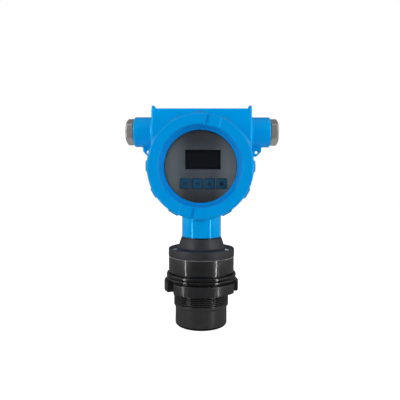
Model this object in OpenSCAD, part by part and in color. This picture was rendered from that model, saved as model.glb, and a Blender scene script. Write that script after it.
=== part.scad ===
// Ultrasonic level sensor: a die-cast twin-chamber housing with a window cover in front and a blind
// cover behind, standing on a plastic transducer with a tank thread and a lock nut.
// The origin is the centre of the radiating face, +Z runs up the probe and the display faces -Y.

/* [Transducer] */
// Diameter of the plain head
head_d = 56.7; // [53:0.1:58.5]
// Height of the plain head
head_h = 24; // [14:0.5:40]
// Radius of the rounded edge of the radiating face
head_edge = 2.8; // [1:0.1:3.2]
// Thickness of the radiating face
face_t = 4; // [3.5:0.5:8]
// Wall between the potting and the outside of the head
head_wall = 3.9; // [3.4:0.1:6]
// Major diameter of the tank thread
thread_d = 60; // [59:0.5:64]
// Height of the plain land below the tank thread
thread_land = 1.6; // [0.5:0.1:4]
// Length of the tank thread
thread_len = 33.5; // [28:0.5:60]
// Diameter of the shoulder above the thread
shoulder_d = 72; // [70.5:0.5:76]
// Height of the shoulder above the thread
shoulder_h = 17.9; // [15:0.1:30]
// Thickness of the matching layer on the radiating face
matching_t = 6; // [2:0.5:8]
// Diameter of the piezo disc
piezo_d = 40; // [20:0.5:44]
// Thickness of the piezo disc
piezo_t = 6; // [2:0.5:8]
// Thickness of the damping backing
backing_t = 22; // [10:0.5:28]

/* [Lock nut and seals] */
// Outer diameter of the lock nut
nut_d = 81.7; // [78:0.1:90]
// Height of the lock nut
nut_h = 10.5; // [8:0.5:14]
// Width of a spanner notch in the lock nut
notch_w = 10.5; // [7:0.5:14]
// Depth of a spanner notch in the lock nut
notch_depth = 6.5; // [3:0.5:8]
// Number of spanner notches in the lock nut
notch_count = 3; // [2:1:6]
// Angle of the first notch, to the left of the front
notch_turn = 52; // [0:1:90]
// Outer diameter of the sealing gasket and the thrust washer
seal_d = 76.6; // [74:0.1:80]
// Height of the sealing gasket
gasket_h = 4.1; // [3:0.1:5]
// Height of the thrust washer
washer_h = 4.2; // [3:0.1:5]

/* [Adapter flange] */
// Diameter of the flange disc
flange_d = 72.8; // [71.5:0.1:78]
// Thickness of the flange disc
flange_t = 8.8; // [5:0.1:12]
// Diameter of the cone where it meets the flange disc
cone_base_d = 50.4; // [47:0.2:53]
// Height of the cone
cone_h = 11.4; // [8:0.1:20]
// Diameter of the spigot in the neck
spigot_d = 32; // [28:0.5:35]
// Length of the spigot in the neck
spigot_len = 15; // [10:0.5:18]
// Diameter of the bore for the signal lead
lead_bore_d = 18; // [12:0.5:22]
// Number of flange screws
flange_screws_n = 3; // [3:1:6]
// Diameter of the circle of flange screws
flange_screw_circle_d = 63; // [62:0.2:64]

/* [Housing] */
// Diameter of the neck
neck_d = 43.2; // [40:0.1:46]
// Height of the drum axis above the lower end of the neck
neck_len = 76.2; // [72:0.1:90]
// Half width of the body, and radius of its round underside
body_r = 53; // [50.5:0.1:56]
// Height of the flat top above the drum axis
body_top = 61.7; // [58:0.1:75]
// Depth of the body between its front and rear faces
body_depth = 56; // [50:0.5:80]
// Wall of the casting
wall = 5.2; // [4:0.1:6]
// Thickness of the wall between the two chambers
partition_t = 4; // [3:0.5:6]
// Width of a rail on the top edge
rail_w = 3.2; // [2:0.1:5]
// Height of a rail above the flat top
rail_h = 3.3; // [2:0.1:6]
// Length of a rail
rail_len = 50; // [20:1:50]
// Radius of the chamber mouths
chamber_r = 41; // [40.3:0.1:42]
// Radius of the threaded collar under a cover
collar_r = 45.8; // [45.2:0.1:46.6]
// Length of the threaded collar under a cover
collar_len = 12.2; // [9:0.1:15]

/* [Conduit bosses and plugs] */
// Diameter of a conduit boss
boss_d = 33.1; // [30:0.1:36]
// Distance from the probe axis to the end of a boss
boss_reach = 74.5; // [69:0.1:90]
// Height of the boss axis above the drum axis
boss_rise = 39.2; // [37:0.1:41]
// Diameter of the conduit thread
conduit_d = 20; // [16:0.5:22]
// Width across flats of a plug
plug_af = 26; // [24:0.5:30]
// Height of the hexagon of a plug
plug_t = 8.2; // [5:0.1:12]
// Length of the threaded shank of a plug
plug_shank = 12; // [8:0.5:15]
// Thickness of the sealing washer under a plug
plug_washer_t = 0.8; // [0.5:0.1:2]

/* [Lugs] */
// Thickness of a lug
lug_t = 5; // [3:0.5:8]
// Distance from the body's side to the outer edge of a lug
lug_reach = 12.6; // [11:0.1:15]
// Diameter of the hole in a lug
lug_hole_d = 3.3; // [2:0.1:4.5]
// Distance of the lug hole from the body's side
lug_hole_x = 7.2; // [6:0.1:8]
// Distance of the lug hole below the boss axis
lug_hole_drop = 22.2; // [21:0.1:23]

/* [Covers] */
// Radius of a cover between its grip lobes
cover_r = 52.4; // [51:0.1:53]
// Radius over the grip lobes
lobe_r = 54; // [53.2:0.1:56]
// Number of grip lobes
lobe_count = 12; // [6:1:18]
// Width of a grip lobe
lobe_w = 11.2; // [5:0.1:14]
// Radius of the rounded rim of a cover
rim_edge = 2; // [1:0.1:3]
// Inner radius of the front face
bezel_r = 42.2; // [40:0.1:44]
// Radius of the window
window_r = 36.6; // [33:0.1:37]
// Depth of the bezel between the front face and the glass gasket
bezel_depth = 13.5; // [8:0.1:20]
// Width of a spanner slot
slot_w = 16.6; // [10:0.1:18]
// Depth of a spanner slot at its steep wall
slot_depth = 4; // [2:0.1:4]
// Angle of the upper spanner slot from the vertical, clockwise from the front
slot_turn = 14.5; // [0:0.5:45]
// Thickness of the glass
glass_t = 6; // [4:0.5:10]
// Thickness of the glass gasket
glass_gasket_t = 0.8; // [0.5:0.1:2]
// Thickness of the threaded ring behind the glass
ring_t = 2.2; // [1.5:0.1:4]
// Length of the rear cover
rear_cover_len = 29.6; // [24:0.1:40]
// Thickness of the rear cover's end wall
rear_wall = 7; // [5:0.5:9]
// Section diameter of a cover's sealing ring
oring_d = 2.6; // [1.6:0.1:3]

/* [Display] */
// Radius of the display panel
panel_r = 39.5; // [38.5:0.1:40]
// Thickness of the display panel
panel_t = 2; // [1:0.1:3]
// Width of the screen
lcd_w = 36.4; // [30:0.1:40]
// Height of the screen
lcd_h = 20.2; // [16:0.1:22]
// Distance of the screen's centre to the right of the drum axis
lcd_x = 2; // [-3:0.1:4]
// Distance of the screen's centre above the drum axis
lcd_rise = 7.4; // [6.5:0.1:9]
// Width of a key
key_w = 10.7; // [8:0.1:11]
// Height of a key
key_h = 11; // [8:0.1:11.6]
// Spacing of the keys
key_pitch = 12.5; // [12.3:0.1:13.2]
// Distance of the row of keys to the right of the drum axis
key_x = 2.6; // [-2:0.1:3]
// Distance of the row of keys below the drum axis
key_drop = 17.3; // [17:0.1:19]
// Height of a key above the panel
key_proud = 0.6; // [0.2:0.1:2]
// Travel of a key
key_travel = 0.4; // [0.2:0.05:0.8]
// Length of the spacers between panel and display board
panel_gap = 8; // [7.5:0.1:10]
// Length of the spacers between the two boards
board_gap = 5.8; // [5.2:0.1:7]
// Length of the spacers between main board and chamber wall
foot_gap = 2; // [1.6:0.1:3]
// Thickness of the circuit boards
board_t = 1.6; // [0.8:0.1:2.4]

/* [Hidden] */
$fn = 96;

// Radial gap of a running thread, and of a fixed spigot or pin
thread_fit = 0.08;
fit = 0.05;
// Gap between a screwed-on piece and the face that it seats on
seat_gap = 0.05;
// Small chamfer on turned and moulded edges
edge = 0.6;
// Extra length of a cutting body past a face
past = 1;
// Depth to which the steps of one solid reach into each other
bite = 0.5;

blue = [0.01, 0.56, 0.84];
black = [0.14, 0.14, 0.15];
rubber = [0.06, 0.06, 0.06];
steel = [0.62, 0.60, 0.57];
brass = [0.78, 0.64, 0.30];
board_green = [0.05, 0.35, 0.18];
teal = [0.07, 0.31, 0.41];

// Heights along the probe
head_r = head_d / 2;
thread_r = thread_d / 2;
shoulder_z = head_h + thread_len;
flange_z = shoulder_z + shoulder_h;
cone_z = flange_z + flange_t;
neck_seal_z = cone_z + cone_h;
neck_seal_t = 0.8;
neck_z = neck_seal_z + neck_seal_t;
drum_z = neck_z + neck_len;
gasket_z = shoulder_z - seat_gap - gasket_h;
washer_z = gasket_z - washer_h;
nut_z = washer_z - seat_gap - nut_h;
seal_edge = 1.3;

// Filling of the transducer
cavity_r = head_r - head_wall;
fill_r = cavity_r - fit;
plug_in_h = 4;
piezo_z = face_t + matching_t;
backing_z = piezo_z + piezo_t;
potting_z = backing_z + backing_t;
potting_top = flange_z - plug_in_h - seat_gap;

// Flange screws
screw_r = 1.5;
screw_head_r = 2.8;
screw_head_h = 2;
screw_sink_r = 3.4;
screw_sink = 1.4;
screw_grip = 12;
cone_steps = 6;
cone_bulge = 1.5;

// Housing
boss_r = boss_d / 2;
boss_z = drum_z + boss_rise;
boss_fillet = 2;
boss_fillet_mid = [0.3, 0.4];
half_depth = body_depth / 2;
collar_end = half_depth + collar_len;
conduit_r = conduit_d / 2 + fit;
conduit_margin = 1;
partition_back = -(conduit_r + conduit_margin);
partition_front = partition_back - partition_t;
cavity_half = half_depth - wall;
socket_r = spigot_d / 2 + fit;
socket_spare = 0.5;
lug_chamfer = 5.4;
lug_margin = 4.8;

// Front cover, from the housing's face outwards
mouth_gap = 0.4;
mouth_y = -half_depth - mouth_gap;
ring_gap = 0.3;
ring_back = -collar_end - ring_gap;
glass_back = ring_back - ring_t;
glass_front = glass_back - glass_t;
lip_y = glass_front - glass_gasket_t;
face_y = lip_y - bezel_depth;
thread_bore_r = collar_r + thread_fit;
glass_overlap = 1;
glass_r = chamber_r + glass_overlap;
glass_seat_r = glass_r + 6 * fit;
oring_bore_r = thread_bore_r + oring_d + 2 * fit;
oring_depth = oring_d - mouth_gap + 3 * seat_gap;
lobe_start = 3;
lobe_ramp = 2.5;
lobe_root = 2;
slot_in = bezel_r - 5;
bezel_break = 0.8;
window_land = 1;
slot_draft = 2.2;
slot_shallow = 0.8;
ring_notch = 5;

// Rear cover
rear_mouth = half_depth + mouth_gap;
rear_end = rear_mouth + rear_cover_len;
dish_depth = 1.6;
dish_slope = 1.4;

// Plugs
plug_corner_r = plug_af / 2 / cos(30);
plug_chamfer = 1.7;

// Display stack, from the chamber wall forwards
main_back = partition_front - foot_gap;
main_front = main_back - board_t;
board_back = main_front - board_gap;
board_front = board_back - board_t;
panel_back = board_front - panel_gap;
panel_front = panel_back - panel_t;
board_margin = 1;
board_r = panel_r - board_margin;
opening_gap = 0.15;
screen_recess = 0.4;
screen_frame = [6, 8];
screen_frame_t = 3;
key_corner = 1.6;
key_rim = [1, 1.4];
key_rim_t = 0.8;
key_stem_r = 2;
switch_a = 6;
switch_h = 3.4;
plunger_r = 1.75;
plunger_h = 1.2;
plunger_front = board_front - switch_h - plunger_h;
key_stop = 0.05;
spacer_af = 5;
panel_spacer_r = 35.5;
panel_spacer_angle = 25;
board_spacer_r = 33;
board_spacer_angle = 45;
transformer = [10, 10, 4.5];
transformer_at = [12, -12];

// Lead, feedthrough and terminals
lead_r = 2;
lead_bend = 10;
lead_y = 3;
feed_drop = 30;
feed_r = 5;
feed_rim_r = 8;
feed_rim_t = 1.2;
terminal_n = 5;
terminal_pitch = 8;
terminal_block_h = 14;
terminal_block_t = 16;
terminal_rise = 4;
terminal_screw_r = 1.9;
terminal_screw_h = 3;
terminal_wire_r = 1.6;
earth_at = [27, -20];
earth_r = 2;
earth_head_r = 4;
earth_head_h = 3;

// Points of an arc about a centre, from angle a0 to angle a1
function arc(centre, r, a0, a1, steps = 6) =
    [for (i = [0:steps])
        let (a = a0 + (a1 - a0) * i / steps)
        centre + r * [cos(a), sin(a)]];

// Extrudes an outline drawn in x and z, from y0 to y1
module along_y(y0, y1) {
    translate([0, y1, 0])
        rotate([90, 0, 0])
            linear_extrude(y1 - y0)
                children();
}

// Turns a body's own z axis to +Y, on the drum axis
module about_drum() {
    translate([0, 0, drum_z])
        rotate([-90, 0, 0])
            children();
}

// Turns a body's own z axis outwards along a conduit boss, side -1 or 1
module outwards(side) {
    translate([0, 0, boss_z])
        rotate([0, side * 90, 0])
            children();
}

// A turned piece, from its profile of radius and height
module turned(profile) {
    rotate_extrude()
        polygon(profile);
}

// A flat ring with rounded outer edges
module round_ring(r_in, r_out, h, round_r) {
    turned(concat(
        [[r_in, 0]],
        arc([r_out - round_r, round_r], round_r, -90, 0, 4),
        arc([r_out - round_r, h - round_r], round_r, 0, 90, 4),
        [[r_in, h]]));
}

// A plain tube
module tube(r_in, r_out, h) {
    difference() {
        cylinder(r = r_out, h = h);
        translate([0, 0, -past])
            cylinder(r = r_in, h = h + 2 * past);
    }
}

// A rectangle with round corners, about its centre
module rounded_rect(size, r) {
    square([size[0] - 2 * r, size[1]], center = true);
    square([size[0], size[1] - 2 * r], center = true);
    for (sx = [-1, 1], sy = [-1, 1])
        translate([sx * (size[0] / 2 - r), sy * (size[1] / 2 - r)])
            circle(r = r);
}

// A hexagon spacer along the drum axis, from y0 to y1
module hex_spacer(at, y0, y1) {
    about_drum()
        translate([at[0], at[1], y0])
            cylinder(r = spacer_af / 2 / cos(30), h = y1 - y0, $fn = 6);
}

// Four places on a circle about the drum axis, symmetric left and right
function four_places(r, angle) =
    [for (sx = [-1, 1], sz = [-1, 1]) [sx * r * cos(angle), sz * r * sin(angle)]];

// Outline of the body, a circle below and a square above the drum axis
module body_outline(inset) {
    translate([0, drum_z]) {
        circle(r = body_r - inset);
        translate([-(body_r - inset), 0])
            square([2 * (body_r - inset), body_top - inset]);
    }
}

module top_rail(side) {
    rail_x = side * (body_r - rail_w / 2);
    rail_top = drum_z + body_top + rail_h - rail_w / 2;
    translate([rail_x, 0, rail_top])
        rotate([90, 0, 0])
            cylinder(r = rail_w / 2, h = rail_len, center = true);
    translate([rail_x - rail_w / 2, -rail_len / 2, drum_z + body_top - past])
        cube([rail_w, rail_len, rail_h - rail_w / 2 + past]);
}

module conduit_boss(side) {
    outwards(side)
        turned([
            [0, body_r - past],
            [boss_r + boss_fillet, body_r - past],
            [boss_r + boss_fillet, body_r],
            [boss_r + boss_fillet * boss_fillet_mid[0], body_r + boss_fillet * boss_fillet_mid[1]],
            [boss_r, body_r + boss_fillet],
            [boss_r, boss_reach - 2 * edge],
            [boss_r - 2 * edge, boss_reach],
            [0, boss_reach]]);
}

// A lug on the side of the body, up to the underside of the boss
module lug(side) {
    lug_low = boss_z - lug_hole_drop - lug_margin;
    lug_end = body_r + lug_reach;
    color(blue)
        difference() {
            mirror([side < 0 ? 1 : 0, 0, 0])
                along_y(-lug_t / 2, lug_t / 2)
                    polygon([
                        [body_r, boss_z],
                        [lug_end, boss_z],
                        [lug_end, lug_low + lug_chamfer],
                        [lug_end - lug_chamfer, lug_low],
                        [body_r, lug_low]]);
            conduit_boss(side);
            translate([side * (body_r + lug_hole_x), 0, boss_z - lug_hole_drop])
                rotate([90, 0, 0])
                    cylinder(d = lug_hole_d, h = lug_t + 2 * past, center = true);
        }
}

module left_lug() {
    lug(-1);
}

module right_lug() {
    lug(1);
}

module housing() {
    color(blue)
        difference() {
            union() {
                along_y(-half_depth, half_depth)
                    body_outline(0);
                translate([0, 0, neck_z])
                    cylinder(d = neck_d, h = neck_len - body_r + wall);
                about_drum()
                    translate([0, 0, -collar_end])
                        cylinder(r = collar_r, h = 2 * collar_end);
                for (side = [-1, 1]) {
                    top_rail(side);
                    conduit_boss(side);
                }
            }
            about_drum() {
                translate([0, 0, -collar_end - past])
                    cylinder(r = chamber_r, h = collar_end + past + partition_front);
                translate([0, 0, partition_back])
                    cylinder(r = chamber_r, h = collar_end + past - partition_back);
                translate([0, feed_drop, partition_front - past])
                    cylinder(r = feed_r + fit, h = partition_t + 2 * past);
                translate([earth_at[0], -earth_at[1], partition_front - past])
                    cylinder(r = earth_r + fit, h = partition_t + 2 * past);
            }
            along_y(-cavity_half, partition_front)
                body_outline(wall);
            along_y(partition_back, cavity_half)
                body_outline(wall);
            for (side = [-1, 1])
                outwards(side)
                    translate([0, 0, body_r - wall - past])
                        cylinder(r = conduit_r, h = boss_reach - body_r + wall + 2 * past);
            translate([0, 0, neck_z - past])
                cylinder(r = socket_r, h = spigot_len - neck_seal_t + socket_spare + past);
            translate([0, 0, neck_z])
                cylinder(d = lead_bore_d, h = neck_len - body_r + wall + past);
        }
}

// Grip lobes round a cover, between two places along its axis
module lobes(front, back, ramp_front, ramp_back) {
    intersection() {
        turned([
            [cover_r - lobe_root, front],
            [cover_r, front],
            [lobe_r, front + ramp_front],
            [lobe_r, back - ramp_back],
            [cover_r, back],
            [cover_r - lobe_root, back]]);
        for (i = [0:lobe_count - 1])
            rotate([0, 0, i * 360 / lobe_count])
                translate([cover_r - lobe_root - past, -lobe_w / 2, front - past])
                    cube([lobe_r - cover_r + lobe_root + 2 * past, lobe_w, back - front + 2 * past]);
    }
}

// The two spanner slots in a face at the given place, cut along dir, 1 or -1. The floor is deep at the wall
// that a spanner pushes on to loosen the cover, and rises towards the other side.
module spanner_slots(face, dir) {
    for (turn = [0, 180])
        rotate([0, 0, slot_turn - 90 + turn])
            translate([slot_in, 0, face])
                rotate([90, 0, 90])
                    linear_extrude(lobe_r - slot_in + past)
                        polygon(dir * [
                            [-slot_w / 2, -past],
                            [slot_w / 2, -past],
                            [slot_w / 2, slot_shallow],
                            [-slot_w / 2 + slot_draft, slot_depth],
                            [-slot_w / 2, 0]]);
}

module front_cover() {
    color(blue)
        about_drum()
            difference() {
                union() {
                    turned(concat(
                        [[oring_bore_r, mouth_y],
                         [oring_bore_r, mouth_y - oring_depth],
                         [thread_bore_r, mouth_y - oring_depth],
                         [thread_bore_r, ring_back],
                         [glass_seat_r, ring_back],
                         [glass_seat_r, lip_y],
                         [window_r, lip_y],
                         [window_r, lip_y - window_land],
                         [bezel_r, face_y + bezel_break],
                         [bezel_r + bezel_break, face_y]],
                        arc([cover_r - rim_edge, face_y + rim_edge], rim_edge, -90, 0, 4),
                        [[cover_r, mouth_y]]));
                    lobes(face_y + lobe_start, mouth_y, lobe_ramp, edge);
                }
                spanner_slots(face_y, 1);
            }
}

module rear_cover() {
    color(blue)
        about_drum()
            difference() {
                union() {
                    turned(concat(
                        [[oring_bore_r, rear_mouth],
                         [cover_r, rear_mouth]],
                        arc([cover_r - rim_edge, rear_end - rim_edge], rim_edge, 0, 90, 4),
                        [[bezel_r, rear_end],
                         [bezel_r - dish_slope, rear_end - dish_depth],
                         [0, rear_end - dish_depth],
                         [0, rear_end - rear_wall],
                         [chamber_r, rear_end - rear_wall],
                         [chamber_r, collar_end + ring_gap],
                         [thread_bore_r, collar_end + ring_gap],
                         [thread_bore_r, rear_mouth + oring_depth],
                         [oring_bore_r, rear_mouth + oring_depth]]));
                    lobes(rear_mouth, rear_end - lobe_start, edge, lobe_ramp);
                }
                spanner_slots(rear_end, -1);
            }
}

// A sealing ring on the collar, at the given place along the drum axis
module cover_oring(centre_y) {
    about_drum()
        translate([0, 0, centre_y])
            rotate_extrude()
                translate([thread_bore_r + oring_d / 2, 0])
                    circle(d = oring_d);
}

module front_cover_oring() {
    color(rubber)
        cover_oring(-half_depth - seat_gap - oring_d / 2);
}

module rear_cover_oring() {
    color(rubber)
        cover_oring(half_depth + seat_gap + oring_d / 2);
}

module window_glass() {
    color([0.8, 0.9, 0.9, 0.25])
        about_drum()
            translate([0, 0, glass_front])
                cylinder(r = glass_r, h = glass_t);
}

module window_gasket() {
    color(rubber)
        about_drum()
            translate([0, 0, lip_y])
                tube(window_r + edge, glass_r, glass_gasket_t);
}

module glass_retaining_ring() {
    color(steel)
        about_drum()
            difference() {
                translate([0, 0, glass_back])
                    tube(window_r, glass_seat_r - fit, ring_t);
                for (turn = [0, 180])
                    rotate([0, 0, turn])
                        translate([window_r - past, -ring_notch / 2, glass_back + ring_t / 2])
                            cube([glass_seat_r, ring_notch, ring_t]);
            }
}

module plug(side) {
    plug_seat = boss_reach + plug_washer_t;
    color(steel)
        outwards(side) {
            translate([0, 0, plug_seat - plug_shank])
                cylinder(d = conduit_d, h = plug_shank + bite);
            intersection() {
                translate([0, 0, plug_seat])
                    cylinder(r = plug_corner_r, h = plug_t, $fn = 6);
                turned([
                    [0, plug_seat],
                    [plug_corner_r - edge, plug_seat],
                    [plug_corner_r, plug_seat + edge / 2],
                    [plug_corner_r, plug_seat + plug_t - plug_chamfer],
                    [plug_corner_r - 2 * plug_chamfer, plug_seat + plug_t],
                    [0, plug_seat + plug_t]]);
            }
        }
}

module left_plug() {
    plug(-1);
}

module right_plug() {
    plug(1);
}

module plug_washer(side) {
    color(rubber)
        outwards(side)
            translate([0, 0, boss_reach])
                tube(conduit_d / 2 + 3 * fit, plug_af / 2 - edge, plug_washer_t);
}

module left_plug_washer() {
    plug_washer(-1);
}

module right_plug_washer() {
    plug_washer(1);
}

function key_place(i) = [key_x + (i - 2.5) * key_pitch, drum_z - key_drop];

module display_panel() {
    color([0.33, 0.345, 0.355])
        along_y(panel_front, panel_back)
            difference() {
                translate([0, drum_z])
                    circle(r = panel_r);
                translate([lcd_x, drum_z + lcd_rise])
                    square([lcd_w, lcd_h], center = true);
                for (i = [1:4])
                    translate(key_place(i))
                        rounded_rect([key_w, key_h] + 2 * opening_gap * [1, 1], key_corner);
            }
}

module lcd_module() {
    color([0.06, 0.06, 0.09])
        translate([lcd_x, 0, lcd_rise + drum_z]) {
            along_y(panel_front + screen_recess, panel_back + bite)
                square([lcd_w, lcd_h] - 2 * opening_gap * [1, 1], center = true);
            along_y(panel_back, panel_back + screen_frame_t)
                square([lcd_w, lcd_h] + screen_frame, center = true);
            along_y(panel_back + screen_frame_t - bite, board_front)
                square([lcd_w, lcd_h] + screen_frame / 2, center = true);
        }
}

module key(i) {
    color(teal)
        translate([key_place(i)[0], 0, key_place(i)[1]]) {
            along_y(panel_front - key_proud, panel_back + key_stop + bite)
                rounded_rect([key_w, key_h], key_corner);
            along_y(panel_back + key_stop, panel_back + key_stop + key_rim_t)
                rounded_rect([key_w, key_h] + key_rim, key_corner);
            along_y(panel_back + key_stop + key_rim_t - bite, plunger_front - key_travel - key_stop)
                circle(r = key_stem_r);
        }
}

module key_1() {
    key(1);
}

module key_2() {
    key(2);
}

module key_3() {
    key(3);
}

module key_4() {
    key(4);
}

module key_switches() {
    color([0.2, 0.2, 0.2])
        for (i = [1:4])
            translate([key_place(i)[0], 0, key_place(i)[1]]) {
                along_y(board_front - switch_h, board_front)
                    square(switch_a, center = true);
                along_y(plunger_front, board_front - switch_h + bite)
                    circle(r = plunger_r);
            }
}

module panel_spacers() {
    color(brass)
        for (at = four_places(panel_spacer_r, panel_spacer_angle))
            hex_spacer(at, panel_back, board_front);
}

module display_board() {
    color(board_green)
        along_y(board_front, board_back)
            translate([0, drum_z])
                circle(r = board_r);
}

module main_board() {
    color(board_green)
        along_y(main_front, main_back)
            translate([0, drum_z])
                circle(r = board_r);
}

module board_spacers() {
    color(brass)
        for (at = four_places(board_spacer_r, board_spacer_angle)) {
            hex_spacer(at, board_back, main_front);
            hex_spacer(at, main_back, partition_front);
        }
}

module drive_transformer() {
    color([0.15, 0.13, 0.12])
        along_y(main_front - transformer[2], main_front)
            translate([transformer_at[0], drum_z + transformer_at[1]])
                square([transformer[0], transformer[1]], center = true);
}

module feedthrough() {
    color(rubber)
        about_drum()
            translate([0, feed_drop, 0])
                difference() {
                    union() {
                        translate([0, 0, partition_front - feed_rim_t])
                            cylinder(r = feed_rim_r, h = feed_rim_t);
                        translate([0, 0, partition_front - bite])
                            cylinder(r = feed_r, h = partition_t + 2 * bite);
                        translate([0, 0, partition_back])
                            cylinder(r = feed_rim_r, h = feed_rim_t);
                    }
                    translate([0, 0, partition_front - feed_rim_t - past])
                        cylinder(r = lead_r + fit, h = partition_t + 2 * (feed_rim_t + past));
                }
}

module signal_lead() {
    feed_z = drum_z - feed_drop;
    color(rubber) {
        translate([0, lead_y, potting_top])
            cylinder(r = lead_r, h = feed_z - lead_bend - potting_top);
        translate([0, lead_y - lead_bend, feed_z - lead_bend])
            rotate([90, 0, 90])
                rotate_extrude(angle = 90)
                    translate([lead_bend, 0])
                        circle(r = lead_r);
        translate([0, lead_y - lead_bend, feed_z])
            rotate([90, 0, 0])
                cylinder(r = lead_r, h = lead_y - lead_bend - main_back);
    }
}

function terminal_x(i) = (i - (terminal_n - 1) / 2) * terminal_pitch;

module terminal_block() {
    block_z = drum_z + terminal_rise;
    color([0.12, 0.30, 0.16])
        difference() {
            translate([-terminal_n * terminal_pitch / 2, partition_back, block_z])
                cube([terminal_n * terminal_pitch, terminal_block_t, terminal_block_h]);
            for (i = [0:terminal_n - 1]) {
                translate([terminal_x(i), partition_back + terminal_block_t, block_z + terminal_block_h / 2])
                    rotate([90, 0, 0])
                        translate([0, 0, -past])
                            cylinder(r = terminal_screw_r + fit, h = terminal_screw_h + past);
                translate([terminal_x(i), partition_back + terminal_block_t / 2, block_z + terminal_block_h / 2])
                    cylinder(r = terminal_wire_r, h = terminal_block_h);
            }
        }
}

module terminal_screws() {
    color(steel)
        for (i = [0:terminal_n - 1])
            translate([terminal_x(i), partition_back + terminal_block_t,
                       drum_z + terminal_rise + terminal_block_h / 2])
                rotate([90, 0, 0])
                    translate([0, 0, edge])
                        cylinder(r = terminal_screw_r, h = terminal_screw_h - edge);
}

module earth_screw() {
    color(brass)
        about_drum()
            translate([earth_at[0], -earth_at[1], 0]) {
                translate([0, 0, partition_front])
                    cylinder(r = earth_r, h = partition_t + bite);
                translate([0, 0, partition_back])
                    cylinder(r = earth_head_r, h = earth_head_h);
            }
}

module neck_seal() {
    color(rubber)
        translate([0, 0, neck_seal_z])
            tube(spigot_d / 2 + fit, neck_d / 2, neck_seal_t);
}

// Places of the flange screws, one of them at the back
module flange_screw_places() {
    for (i = [0:flange_screws_n - 1])
        rotate([0, 0, 90 + i * 360 / flange_screws_n])
            translate([flange_screw_circle_d / 2, 0, 0])
                children();
}

// Radius of the cone at a share of its height
function cone_at(t) = cone_base_d / 2 - (cone_base_d - neck_d - 2 * edge) / 2 * pow(t, cone_bulge);

module adapter_flange() {
    flange_r = flange_d / 2;
    bore_r = lead_bore_d / 2;
    color(black)
        difference() {
            turned(concat(
                [[bore_r, flange_z - plug_in_h],
                 [fill_r, flange_z - plug_in_h],
                 [fill_r, flange_z],
                 [flange_r - edge, flange_z],
                 [flange_r, flange_z + edge],
                 [flange_r, cone_z - edge],
                 [flange_r - edge, cone_z],
                 [cone_base_d / 2 + edge, cone_z]],
                [for (i = [1:cone_steps]) [cone_at(i / cone_steps), cone_z + cone_h * i / cone_steps]],
                [[spigot_d / 2, neck_seal_z],
                 [spigot_d / 2, neck_seal_z + spigot_len],
                 [bore_r, neck_seal_z + spigot_len]]));
            flange_screw_places() {
                translate([0, 0, flange_z - past])
                    cylinder(r = screw_r + fit, h = flange_t + 2 * past);
                translate([0, 0, cone_z - screw_sink])
                    cylinder(r = screw_sink_r, h = screw_sink + past);
            }
        }
}

module flange_screws() {
    color(steel)
        flange_screw_places() {
            translate([0, 0, flange_z - screw_grip])
                cylinder(r = screw_r, h = screw_grip + flange_t - screw_sink + bite);
            translate([0, 0, cone_z - screw_sink])
                cylinder(r = screw_head_r, h = screw_head_h);
        }
}

module transducer_body() {
    shoulder_r = shoulder_d / 2;
    color(black)
        difference() {
            turned(concat(
                [[0, 0]],
                arc([head_r - head_edge, head_edge], head_edge, -90, 0),
                [[head_r, head_h - thread_land - (thread_r - head_r)],
                 [thread_r, head_h - thread_land],
                 [thread_r, shoulder_z],
                 [shoulder_r - edge, shoulder_z],
                 [shoulder_r, shoulder_z + edge],
                 [shoulder_r, flange_z - edge],
                 [shoulder_r - edge, flange_z],
                 [cavity_r, flange_z],
                 [cavity_r, face_t],
                 [0, face_t]]));
            flange_screw_places()
                translate([0, 0, flange_z - screw_grip])
                    cylinder(r = screw_r + fit, h = screw_grip + past);
        }
}

module matching_layer() {
    color([0.75, 0.72, 0.62])
        translate([0, 0, face_t])
            cylinder(r = fill_r, h = matching_t);
}

module piezo_disc() {
    color([0.85, 0.80, 0.70])
        translate([0, 0, piezo_z])
            cylinder(d = piezo_d, h = piezo_t);
}

module damping_backing() {
    color([0.45, 0.33, 0.22])
        translate([0, 0, backing_z])
            cylinder(r = fill_r, h = backing_t);
}

module potting_fill() {
    color([0.10, 0.10, 0.12])
        translate([0, 0, potting_z])
            cylinder(r = fill_r, h = potting_top - potting_z);
}

module sealing_gasket() {
    color(rubber)
        translate([0, 0, gasket_z])
            round_ring(thread_r + 6 * fit, seal_d / 2, gasket_h, seal_edge);
}

module thrust_washer() {
    color(black)
        translate([0, 0, washer_z])
            round_ring(thread_r + 6 * fit, seal_d / 2, washer_h, seal_edge);
}

module lock_nut() {
    nut_r = nut_d / 2;
    nut_bore_r = thread_r + thread_fit;
    color(black)
        translate([0, 0, nut_z])
            difference() {
                round_ring(nut_bore_r, nut_r, nut_h, 2 * edge);
                for (i = [0:notch_count - 1])
                    rotate([0, 0, -90 - notch_turn + i * 360 / notch_count])
                        translate([nut_r - notch_depth, -notch_w / 2, -past])
                            cube([notch_depth + past, notch_w, nut_h + 2 * past]);
            }
}

housing();
left_lug();
right_lug();
front_cover();
window_glass();
window_gasket();
glass_retaining_ring();
front_cover_oring();
rear_cover();
rear_cover_oring();
left_plug();
left_plug_washer();
right_plug();
right_plug_washer();
display_panel();
lcd_module();
key_1();
key_2();
key_3();
key_4();
key_switches();
panel_spacers();
display_board();
main_board();
board_spacers();
drive_transformer();
feedthrough();
signal_lead();
terminal_block();
terminal_screws();
earth_screw();
neck_seal();
adapter_flange();
flange_screws();
transducer_body();
matching_layer();
piezo_disc();
damping_backing();
potting_fill();
sealing_gasket();
thrust_washer();
lock_nut();
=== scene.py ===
import math

import bmesh
import bpy
import numpy as np
from mathutils import Matrix, Vector


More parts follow.
